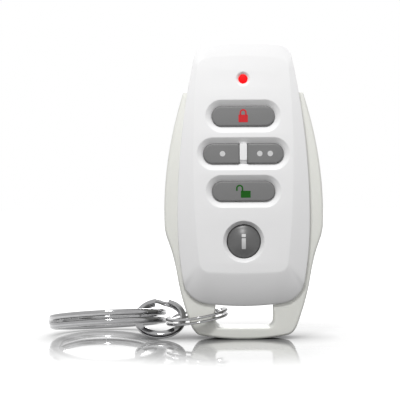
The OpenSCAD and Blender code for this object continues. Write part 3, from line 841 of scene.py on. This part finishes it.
@dataclass
class FrontCover(Shell):
    """The white front: flat face, soft bevel, bowls round the keys and a dish round the indicator.

    The bevel's curve has bevel_steps, and its round_span points at each end give way to a small round.
    """

    face_out: float = 7.1
    edge_out: float = 4.9
    ceiling_out: float = 4.9
    ceiling_in: float = 0.4
    bevel_wall: float = 1.5
    bevel_steps: int = 40
    round_span: int = 3
    round_steps: int = 5
    crease: float = 0.03
    rim_round: float = 0.15
    bow: float = 0.62
    side_slope: float = 0.43
    top_drop: float = 0.13
    low_drop: float = 2.6
    bowl_w: float = 1.3
    info_bowl_w: float = 0.75
    bowl_depth: float = 0.95
    lip_round: float = 0.12
    foot_round: float = 0.15
    foot_drop: float = 0.12
    key_gap: float = 0.015
    info_gap: float = 0.14
    dish_r: float = 1.475
    dish_depth: float = 0.5
    bar_slope: float = 0.75
    bar_corner: float = 0.2
    bar_round: float = 0.1

    def section(self, pull: float) -> np.ndarray:
        """Draws a section of the bevel.

        Args:
            pull: Share of the drop at the curve's handle; as much as bow for a straight bevel.

        Returns:
            Share of the way from the face's outline to the cover's, and distance behind the face.
        """
        start, end = np.zeros(2), np.array([1.0, self.face_out - self.edge_out])
        full = bend(start, end * (self.bow, pull), end, self.bevel_steps)
        soft = bend(start - (self.crease, 0), start, full[self.round_span - 1], self.round_steps)
        rim = bend(full[-1 - self.round_span], end, end, self.round_steps)
        return np.concatenate([soft, full[self.round_span : -1 - self.round_span], rim])

    def bevel(self) -> list[list[int]]:
        """Adds the bevel, which is bowed at the lower edge, straight at the sides and shallow at the top.

        Returns:
            Its loops, from the face outwards.
        """
        cover, face = COVER.outline(), FACE.outline()
        normal = cover - inset(cover, 1.0)
        up, down = np.clip(normal[:, 1], 0, 1), np.clip(-normal[:, 1], 0, 1)
        depth = self.face_out - self.edge_out
        side = np.minimum(self.side_slope * np.sum((cover - face) * normal, 1), depth)
        share = (side + (self.low_drop - side) * down + (self.top_drop - side) * up) / depth
        straight, bowed = self.section(self.bow), self.section(1 - self.bow)
        tuck = np.zeros(len(straight))
        tuck[-1 - self.round_steps :] = self.rim_round * np.linspace(0, 1, self.round_steps + 1) ** 2
        rows = []
        for (s, fall), (_, low_fall), rim in zip(straight, bowed, tuck):
            drop = share * (fall + (low_fall - fall) * down) + rim
            rows.append(self.loop(face * (1 - s) + cover * s, self.face_out - drop))
        return rows

    def bowl(
        self, outline: Callable[[float], Outline], gap: float, width: float, depth: float
    ) -> tuple[list[int], list[int]]:
        """Adds a sloping bowl over a straight opening.

        Args:
            outline: Gives the outline of what sits in it, moved outwards by a distance.
            gap: Gap round that.
            width: Width of the slope.
            depth: Depth of the slope.

        Returns:
            The loops at the face and at the cavity's ceiling.
        """
        slope = np.array([-width, -depth]) / math.hypot(width, depth)
        lip, foot = np.array([gap + width, self.face_out]), np.array([gap, self.face_out - depth])
        section = [
            *bend(lip + (self.lip_round, 0), lip, lip + slope * self.lip_round, steps=5),
            *bend(foot - slope * self.foot_round, foot, foot - (0, self.foot_drop), steps=4),
            (gap, self.ceiling_out),
        ]
        rows = [self.loop(outline(grow), out) for grow, out in section]
        self.stack(rows, flip=True)
        return rows[0], rows[-1]

    def divider(self, key: OptionKey) -> None:
        """Adds the bar between the option keys.

        Args:
            key: One of the keys.
        """
        half_w, low, high = key.bar / 2 - self.key_gap, key.z - key.width / 2, key.z + key.width / 2
        foot = box_outline(-half_w, low, half_w, high, self.bar_corner)
        top = box_outline(-half_w, low + self.bar_slope, half_w, high, self.bar_corner)
        rows = [self.loop(foot, self.ceiling_out), self.loop(foot, self.face_out - self.bowl_depth)]
        side, corner, flat = self.bar_round * np.array([[0, 1], [0, 0], [1, 0]])
        for inward, down in bend(side, corner, flat, steps=3):
            rows.append(self.loop(inset(top, inward), key.top - down))
        self.stack(rows[::-1])
        self.fill(rows[-1])

    def build(self, lamp: Lamp) -> None:
        """Builds the cover.

        Args:
            lamp: The indicator.
        """
        wall = inset(COVER.outline(), WALL)
        rows = [*self.bevel(), self.loop(COVER.outline(), SEAM), self.loop(wall, SEAM)]
        self.stack(rows)
        cavity = [rows[-1], self.loop(wall, self.edge_out - self.bevel_wall)]
        cavity.append(self.loop(inset(FACE.outline(), self.ceiling_in), self.ceiling_out))
        self.stack(cavity)
        arm, disarm, option, _, info = KEYS
        pair = FlatKey(option.node, option.body, option.length)
        bowls = []
        for key in (arm, disarm, pair):
            bowls.append(self.bowl(key.outline, self.key_gap, self.bowl_w, self.bowl_depth))
        bowls.append(self.bowl(info.outline, self.info_gap, self.info_bowl_w, self.bowl_depth))
        bowls.append(self.bowl(lamp.outline, self.key_gap, self.dish_r - lamp.radius, self.dish_depth))
        lips, openings = zip(*bowls)
        self.fill(rows[0], lips)
        self.fill(cavity[-1], openings, rear=True)
        self.divider(option)
        self.settle("front_shell", "case", WHITE, "front_cover")


@dataclass
class Screws(Shell):
    """Three case screws with cross recesses, seen from the rear."""

    head_r: float = 1.8
    chamfer: float = 0.4
    head_back: float = 5.3
    seat_back: float = 4.1
    shank_r: float = 1.0
    tip_r: float = 0.6
    tip_out: float = 3.9
    arm_l: float = 1.0
    arm_w: float = 0.34
    recess: float = 0.7

    def places(self) -> Places:
        """Finds the screws in the CAD screws' box.

        Returns:
            Two places low down and one at the top.
        """
        low, high = (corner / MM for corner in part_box("case_screws"))
        x, low_z, top_z = high.x - self.head_r, low.z + self.head_r, high.z - self.head_r
        return (-x, low_z), (x, low_z), (0.0, top_z)

    def cross(self, x: float, z: float) -> Outline:
        """Draws the recess.

        Args:
            x: Its middle.
            z: Its middle.

        Returns:
            A cross with four arms.
        """
        half = self.arm_w / 2
        arms = [np.array([[half, -half], [self.arm_l, -half], [self.arm_l, half]])]
        for _ in range(3):
            arms.append(arms[-1][:, ::-1] * (-1, 1))
        return np.concatenate(arms) + (x, z)

    def build(self) -> None:
        """Builds the screws."""
        section = [
            (self.tip_r, self.tip_out),
            (self.shank_r, self.tip_out - self.chamfer),
            (self.shank_r, -self.seat_back),
            (self.head_r, -self.seat_back),
            (self.head_r, self.chamfer - self.head_back),
            (self.head_r - self.chamfer, -self.head_back),
        ]
        for x, z in self.places():
            rows = self.turned(section, x, z)
            top = self.loop(self.cross(x, z), -self.head_back)
            low = self.loop(self.cross(x, z), self.recess - self.head_back)
            self.fill(rows[0])
            self.stack(rows)
            self.fill(rows[-1], (top,), rear=True)
            self.bridge(top, low)
            self.fill(low, rear=True)
        self.settle("screws", "case", SCREW, "case_screws")


@dataclass
class RearCover(Shell):
    """The white back: a soft rim, a flat rear face and three screw wells."""

    depth: float = 5.4
    rim_w: float = 2.6
    rim_depth: float = 2.1
    inner: float = 3.6
    inner_round: float = 1.2
    well_r: float = 1.95
    lip: float = 0.2
    lip_mid: float = 0.06
    bore_r: float = 1.1

    def build(self, screws: Screws) -> None:
        """Builds the cover.

        Args:
            screws: The case screws.
        """
        cover = COVER.outline()
        wall = inset(cover, WALL)
        cavity = [
            self.loop(inset(cover, WALL + self.inner_round), -self.inner),
            self.loop(wall, self.inner_round - self.inner),
            self.loop(wall, -SEAM),
        ]
        self.fill(cavity[0])
        self.stack(cavity, flip=True)
        rows = [self.loop(cover, -SEAM)]
        for a in np.linspace(0, QUARTER, 13):
            moved = inset(cover, self.rim_w * (1 - math.cos(a)))
            rows.append(self.loop(moved, self.rim_depth * (1 - math.sin(a)) - self.depth))
        self.stack(rows)
        self.bridge(cavity[-1], rows[0], flip=True)
        well = [
            (self.well_r + self.lip, -self.depth),
            (self.well_r + self.lip_mid, self.lip_mid - self.depth),
            (self.well_r, self.lip - self.depth),
            (self.well_r, -screws.seat_back),
            (self.bore_r, -screws.seat_back),
            (self.bore_r, -self.inner),
        ]
        wells = [self.turned(well, x, z) for x, z in screws.places()]
        for loops in wells:
            self.stack(loops)
        self.fill(rows[-1], tuple(loops[0] for loops in wells), rear=True)
        self.settle("rear_shell", "case", WHITE, "rear_cover")


@dataclass
class LoopFrame(Shell):
    """The frosted frame: a wing on each side of the covers, two legs, and the bar that the fob stands on.

    A lean is the step sideways for each step up, and a pull is a handle's share of the leg's height.
    """

    half_depth: float = 3.9
    edge_r: float = 0.6
    slot_r: float = 0.6
    bar_r: float = 0.25
    seam_r: float = 0.05
    shoulder_taper: tuple[float, ...] = (0.8, 0.6, 0.4, 0.15)
    gap: float = 0.03
    wing_half_w: float = 17.05
    wing_z: float = 27.0
    wing_r: float = 80.0
    shoulder_z: float = 52.9
    shoulder_gap: float = 0.3
    knee_z: float = 23.0
    knee_round: float = 1.6
    knee_lean: float = 0.385
    knee_pull: float = 0.37
    foot_lean: float = 0.37
    foot_pull: float = 0.56
    foot_corner_x: float = 11.4
    foot_half_w: float = 1.0
    foot_r: float = 48.0
    foot_corner_w: float = 1.9
    foot_corner_h: float = 2.1
    slot_half_w: float = 6.3
    slot_corner: float = 1.3
    slot_edge: float = 0.1
    slot_fade: float = 1.2
    mouth_round: float = 0.35
    mouth_step: float = 0.12
    bar_h: float = 2.4

    def wing(self, z: Number) -> Number:
        """Gives the wing's half width at a height."""
        return self.wing_half_w - (z - self.wing_z) ** 2 / (2 * self.wing_r)

    def foot(self, x: Number) -> Number:
        """Gives the height of the bowed foot beside its flat middle."""
        return (x * x - self.foot_half_w**2) / (2 * self.foot_r)

    def outer(self) -> np.ndarray:
        """Draws the right half of the outer edge.

        Returns:
            The points, from the middle of the foot up to the shoulder.
        """
        foot_x = self.foot_corner_x - self.foot_corner_w
        foot_lean, knee_lean = np.array([self.foot_lean, 1.0]), np.array([self.knee_lean, 1.0])
        a = np.array([foot_x, self.foot(foot_x)])
        b = np.array([self.foot_corner_x, a[1] + self.foot_corner_h])
        knee = np.array([self.wing(self.knee_z), self.knee_z])
        low = knee - knee_lean * self.knee_round
        high_z = self.knee_z + self.knee_round
        high = np.array([self.wing(high_z), high_z])
        climb = low[1] - b[1]
        up, down = foot_lean * climb * self.foot_pull, knee_lean * climb * self.knee_pull
        bow = np.linspace(self.foot_half_w, foot_x, 14)
        wing = np.linspace(high_z, self.shoulder_z, 40)[1:]
        return np.concatenate([
            pairs(np.linspace(0, self.foot_half_w, 8)[1:-1], 0.0),
            pairs(bow, self.foot(bow)),
            rounded(a, meet(a, np.array([1, foot_x / self.foot_r]), b, foot_lean), b, steps=12),
            curve(b, b + up, low - down, low, steps=30),
            rounded(low, knee, high, steps=10),
            pairs(self.wing(wing), wing),
        ])

    def inner(self) -> np.ndarray:
        """Draws the right half of the inner edge.

        Returns:
            The points, from the shoulder along the cover and round the slot to near the middle of the bar.
        """
        cover = inset(COVER.outline(), -self.gap)
        right = cover[: len(cover) // 2]
        x, z = right.T
        beside = (z < self.shoulder_z - self.shoulder_gap) & (x > self.slot_half_w + self.mouth_round)
        mouth_z = COVER.base(self.slot_half_w) - self.gap
        side = np.array([self.slot_half_w, self.bar_h + self.slot_corner])
        corner = np.array([self.slot_half_w, self.bar_h])
        low = np.array([self.slot_half_w - self.slot_corner, self.bar_h])
        return np.concatenate([
            [(np.interp(self.shoulder_z, z, x), self.shoulder_z)],
            right[beside][::-1],
            [(self.slot_half_w + self.mouth_step, mouth_z)],
            pairs(self.slot_half_w, np.linspace(mouth_z - self.mouth_round, side[1], 8)),
            rounded(side, corner, low, steps=10),
            pairs(np.linspace(low[0], 0, 10)[1:-1], self.bar_h),
        ])

    def radii(self, outer: int, inner: np.ndarray) -> np.ndarray:
        """Gives the edge round at each point of the right half.

        Args:
            outer: Number of points on the outer edge.
            inner: Points of the inner edge.

        Returns:
            The radii, running smoothly from one stretch to the next.
        """
        x, z = inner.T
        edge = np.full(outer, self.edge_r)
        edge[-len(self.shoulder_taper) :] *= self.shoulder_taper
        fade = np.clip((COVER.base_z - self.slot_fade / 2 - z) / self.slot_fade, 0, 1)
        at_slot = fade * (x < self.slot_half_w + self.slot_edge)
        slot = self.bar_r + (self.slot_r - self.bar_r) * np.clip((z - self.bar_h) / self.slot_corner, 0, 1)
        return np.concatenate([edge, self.seam_r + (slot - self.seam_r) * at_slot])

    def build(self) -> None:
        """Builds the frame."""
        outer, inner = self.outer(), self.inner()
        outline = whole(np.concatenate([outer, inner]))
        radius = self.radii(len(outer), inner)
        radius = np.concatenate([radius, radius[::-1]])
        front, rear = [], []
        for a in np.linspace(0, QUARTER, 9):
            moved = inset(outline, radius * (1 - math.sin(a)))
            out = self.half_depth - radius * (1 - math.cos(a))
            front.append(self.loop(moved, out))
            rear.insert(0, self.loop(moved, -out))
        self.close(front + rear)
        self.settle("frosted_loop", "case", FROSTED, "loop_frame", sharp=40)


@dataclass(frozen=True)
class Padlock:
    """A padlock, placed from the middle of its key: the sides of its case, then its bow."""

    left: float
    right: float
    low: float
    high: float
    corner: float
    bow_x: float
    bow_half_w: float
    bow_left: float
    bow_right: float
    bow_top: float
    band: float = 0.33

    def outlines(self, z: float) -> list[Outline]:
        """Draws the case and the bow.

        Args:
            z: Height of the key's middle.

        Returns:
            Both outlines.
        """
        case = box_outline(self.left, z + self.low, self.right, z + self.high, self.corner)
        wide, narrow = self.bow_half_w, self.bow_half_w - self.band
        bow = np.concatenate([
            [(wide, self.bow_right)],
            arc(0, self.bow_top - wide, wide, 0, 2 * QUARTER, steps=24),
            [(-wide, self.bow_left), (-narrow, self.bow_left)],
            arc(0, self.bow_top - wide, narrow, 2 * QUARTER, 0, steps=24),
            [(narrow, self.bow_right)],
        ])
        return [case, bow + (self.bow_x, z)]


@dataclass
class Symbols:
    """Generic symbols on the keys: a closed lock, an open lock, dots, and a small i."""

    proud: float = 0.02
    lock: Padlock = Padlock(
        left=-0.99, right=0.99, low=-1.32, high=0.28, corner=0.12,
        bow_x=0.0, bow_half_w=0.74, bow_left=0.2, bow_right=0.2, bow_top=1.46,
    )
    unlock: Padlock = Padlock(
        left=-0.57, right=1.5, low=-1.38, high=0.09, corner=0.1,
        bow_x=-0.82, bow_half_w=0.76, bow_left=0.09, bow_right=0.0, bow_top=1.38,
    )
    dot_r: float = 0.58
    one_dot: tuple[float, ...] = (-4.42,)
    two_dots: tuple[float, ...] = (3.47, 5.7)
    letter_half_w: float = 0.43
    letter_corner: float = 0.06
    letter_step: float = 0.15
    letter_marks: Places = ((0.97, 1.62), (-1.58, 0.74))

    def flat(self, name: str, key: FlatKey, finish: Finish, outlines: list[Outline]) -> None:
        """Adds a thin printed shape to the face of a key.

        Args:
            name: The piece's name.
            key: The key.
            finish: Its finish.
            outlines: Its outlines.
        """
        shell = Shell()
        for outline in outlines:
            face = key.face(outline)
            rows = [shell.loop(outline, face + self.proud), shell.loop(outline, face - self.proud)]
            shell.fill(rows[0])
            shell.stack(rows)
        shell.settle(name, key.body, finish)

    def build(self) -> None:
        """Builds every symbol."""
        arm, disarm, one, two, info = KEYS
        self.flat("lock_symbol", arm, RED_PRINT, self.lock.outlines(arm.z))
        self.flat("unlock_symbol", disarm, GREEN_PRINT, self.unlock.outlines(disarm.z))
        for name, key, places in (("one_dot", one, self.one_dot), ("two_dots", two, self.two_dots)):
            self.flat(name, key, PALE_PRINT, [ring_outline(self.dot_r, x, key.z, 32) for x in places])
        half, letter = self.letter_half_w, []
        for low, high in self.letter_marks:
            mark = box_outline(-half, info.z + low, half, info.z + high, self.letter_corner)
            letter.append(dense(mark, self.letter_step))
        self.flat("info_symbol", info, LETTER_PRINT, letter)


@dataclass
class SplitRing(Shell):
    """Two turns of flat wire with rounded edges, stepping from one level to the other; angles in degrees."""

    node: str
    centre: Triple
    tilt: Triple
    start: float
    diameter: float
    wire_w: float = 1.2
    wire_t: float = 0.5
    turn_gap: float = 0.45
    step_from: float = 330.0
    step_to: float = 360.0
    end: float = 684.0
    squareness: float = 3.2
    around: int = 20
    stations: int = 400

    def build(self) -> None:
        """Builds the ring."""
        angle = np.linspace(0, self.end, self.stations + 1)
        t = np.clip((angle - self.step_from) / (self.step_to - self.step_from), 0, 1)
        level = (self.wire_t + self.turn_gap) / 2 * (2 * t * t * (3 - 2 * t) - 1)
        unit = ring_outline(1, 0, 0, self.around)
        across, up = (np.sign(unit) * np.abs(unit) ** (2 / self.squareness)).T
        radius = (self.diameter - self.wire_w) / 2 + self.wire_w / 2 * across
        tilt = Euler([math.radians(v) for v in self.tilt]).to_matrix()
        turn = np.array(tilt @ Matrix.Rotation(math.radians(self.start), 3, "Z"))
        rows = []
        for a, lift in zip(np.radians(angle), level):
            local = np.column_stack([radius * np.cos(a), radius * np.sin(a), lift + self.wire_t / 2 * up])
            rows.append(self.add(local @ turn.T + self.centre))
        self.stack(rows, flip=True)
        self.faces += [tuple(rows[0][::-1]), tuple(rows[-1])]
        self.settle(self.node + "_wire", self.node + "_body", CHROME, self.node, sharp=50)


RINGS = (
    SplitRing("loop_ring", centre=(-10.26, 0.0, 4.6), tilt=(2.0, -9.0, 0.0), start=60.0, diameter=13.69),
    SplitRing("link_ring", centre=(-18.354, 0.9, 4.148), tilt=(39.0, -3.5, 6.5), start=100.0, diameter=11.2),
    SplitRing(
        "key_ring", centre=(-30.204, 4.7, 3.567), tilt=(-8.0, -3.0, 0.0), start=200.0, diameter=26.0,
        wire_w=2.2, wire_t=1.35,
    ),
)


class Inside:
    """The CAD nodes that stay as they are inside the case, each with its finish."""

    finishes = {
        SWITCH: ("arm_switch", "option_one_switch", "option_two_switch", "disarm_switch", "info_switch"),
        STEM: ("arm_stem", "option_one_stem", "option_two_stem", "disarm_stem", "info_stem"),
        DIODE: ("indicator_led",),
        BOARD: ("circuit_board",),
        CHIP: ("controller_chip", "radio_chip"),
        CAN: ("crystal",),
        COPPER: ("antenna",),
        CELL: ("coin_cell",),
        SPRING: ("battery_clip", "battery_contact"),
    }

    def dress(self) -> None:
        """Gives each node its finish."""
        for finish, nodes in self.finishes.items():
            material = finish.material()
            for node in nodes:
                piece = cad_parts[node]
                piece.data.materials.clear()
                piece.data.materials.append(material)
                LOG.info("%s: CAD node in %s", node, finish.slot.value)


# Studio


@dataclass(frozen=True)
class SoftBox:
    """A round soft lamp, aimed at a place on the fob; metres and watts."""

    name: str
    stand: Triple
    aim: Triple
    size: float
    power: float

    def build(self) -> None:
        """Hangs the lamp."""
        data = bpy.data.lights.new(self.name, "AREA")
        data.shape = "DISK"
        data.size = self.size
        data.energy = self.power
        lamp = bpy.data.objects.new(self.name, data)
        lamp.location = self.stand
        lamp.rotation_euler = (Vector(self.aim) - Vector(self.stand)).to_track_quat("-Z", "Y").to_euler()
        bpy.context.scene.collection.objects.link(lamp)


@dataclass
class Floor:
    """A pale glossy floor, in metres, that mirrors what stands on it, less and less in front and behind.

    It glows from near to far, so that it runs into the white background. In front of the fob the glow
    counts only front_share of the distance, which leaves room for the mirror image. Near the fob, painted
    shade from an ambient occlusion darkens both its colour and its mirror image.
    """

    half: float = 3.0
    drop: float = 0.00003
    bounce: float = 0.15
    pale: float = 0.78
    cloud: float = 0.02
    cloud_scale: float = 40.0
    near: float = 0.016
    far: float = 0.05
    far_glow: float = 0.6
    front_share: float = 0.5
    mirror: float = 0.72
    mirror_from: float = 0.015
    mirror_to: float = 0.05
    mirror_rough: float = 0.04
    shade_reach: float = 0.01
    shade_least: float = 0.22

    def material(self) -> bpy.types.Material:
        """Builds the floor's material.

        Returns:
            The material.
        """
        made, g = blank("floor")
        where = g.add("ShaderNodeTexCoord").outputs["Object"]
        path = g.add("ShaderNodeLightPath").outputs
        seen = g.math("MAXIMUM", path["Is Camera Ray"], path["Is Glossy Ray"])
        cloud = g.add("ShaderNodeTexNoise", Vector=where, Scale=self.cloud_scale).outputs["Fac"]
        pale = g.mix(cloud, (self.pale,) * 3, (self.pale + self.cloud,) * 3)
        # Painted contact shadow: ambient occlusion darkens the floor's colour near what stands on it.
        shade = g.add("ShaderNodeAmbientOcclusion", Distance=self.shade_reach).outputs["AO"]
        shade = g.math("MULTIPLY_ADD", shade, 1 - self.shade_least, self.shade_least)
        colour = g.mix(seen, (self.bounce,) * 3, g.mix(shade, (0, 0, 0), pale))
        matt = g.add("ShaderNodeBsdfDiffuse", Color=colour).outputs[0]
        x, y, _ = g.add("ShaderNodeSeparateXYZ", Vector=where).outputs
        behind = g.math("MAXIMUM", y, g.math("MULTIPLY", y, -self.front_share))
        counted = g.add("ShaderNodeCombineXYZ", X=x, Y=behind).outputs[0]
        away = g.add("ShaderNodeVectorMath", operation="LENGTH", Vector=counted).outputs["Value"]
        reach = g.feed("ShaderNodeMapRange", away, self.near, self.far, 0.0, self.far_glow)
        glow = g.add("ShaderNodeEmission", Strength=g.math("MULTIPLY", seen, reach)).outputs[0]
        lit = g.feed("ShaderNodeAddShader", matt, glow)
        fading = g.math("ABSOLUTE", y), self.mirror_from, self.mirror_to, self.mirror, 0.0
        fade = g.feed("ShaderNodeMapRange", *fading, interpolation_type="SMOOTHSTEP")
        # The mirror image is darkened by the same painted contact shadow.
        gloss = g.add("ShaderNodeBsdfGlossy", Color=shade, Roughness=self.mirror_rough).outputs[0]
        share = g.math("MULTIPLY", fade, path["Is Camera Ray"])
        g.output(g.feed("ShaderNodeMixShader", share, lit, gloss))
        return made

    def build(self) -> None:
        """Lays the floor."""
        mesh = bpy.data.meshes.new("floor")
        signs = (-1, -1), (1, -1), (1, 1), (-1, 1)
        mesh.from_pydata([(x * self.half, y * self.half, -self.drop) for x, y in signs], [], [(0, 1, 2, 3)])
        mesh.materials.append(self.material())
        floor = bpy.data.objects.new("floor", mesh)
        bpy.context.scene.collection.objects.link(floor)


@dataclass
class Studio:
    """Lamps, surrounding light and camera; metres, degrees and millimetres of lens."""

    camera_y: float = -0.242
    camera_z: float = 0.0299
    camera_roll: float = 0.3
    lens: float = 100.0
    shift_x: float = -0.109
    clip: tuple[float, float] = (0.01, 20.0)
    world_light: float = 0.79
    lamps: tuple[SoftBox, ...] = (
        SoftBox("key_lamp", stand=(-0.015, -0.11, 0.14), aim=(0.0, 0.0, 0.035), size=0.03, power=0.13),
        SoftBox("rear_lamp", stand=(0.0, 0.25, 0.11), aim=(0.0, 0.0, 0.01), size=0.05, power=0.15),
    )

    def world(self) -> None:
        """Surrounds the fob with soft white light, and shows white to the camera and to bright surfaces."""
        world = bpy.data.worlds.new("studio")
        world.use_nodes = True
        g = Graph(world.node_tree)
        path = g.add("ShaderNodeLightPath").outputs
        seen = g.math("MAXIMUM", path["Is Camera Ray"], path["Is Glossy Ray"])
        seen = g.math("MAXIMUM", seen, path["Is Transmission Ray"])
        strength = g.math("MULTIPLY_ADD", seen, 1.0 - self.world_light, self.world_light)
        light = g.add("ShaderNodeBackground", Color=(1, 1, 1, 1), Strength=strength)
        g.output(light.outputs[0], "ShaderNodeOutputWorld")
        bpy.context.scene.world = world

    def camera(self) -> None:
        """Sets the camera in front of the fob, with the picture moved aside as in the photo."""
        data = bpy.data.cameras.new("camera")
        data.lens = self.lens
        data.shift_x = self.shift_x
        data.clip_start, data.clip_end = self.clip
        camera = bpy.data.objects.new("camera", data)
        camera.location = (0.0, self.camera_y, self.camera_z)
        camera.rotation_euler = (QUARTER, math.radians(self.camera_roll), 0.0)
        bpy.context.scene.collection.objects.link(camera)
        bpy.context.scene.camera = camera

    def build(self) -> None:
        """Sets up the studio."""
        Floor().build()
        for lamp in self.lamps:
            lamp.build()
        self.world()
        self.camera()
        bpy.context.scene.view_settings.view_transform = "Standard"


def main() -> None:
    """Builds every piece, dresses the CAD nodes inside and sets up the studio."""
    logging.basicConfig(level=logging.INFO, format="%(message)s")
    screws, lamp = Screws(), Lamp()
    FrontCover().build(lamp)
    RearCover().build(screws)
    screws.build()
    LoopFrame().build()
    for key in KEYS:
        key.build()
    Symbols().build()
    lamp.build()
    for ring in RINGS:
        ring.build()
    Inside().dress()
    Studio().build()


if __name__ == "__main__":
    main()
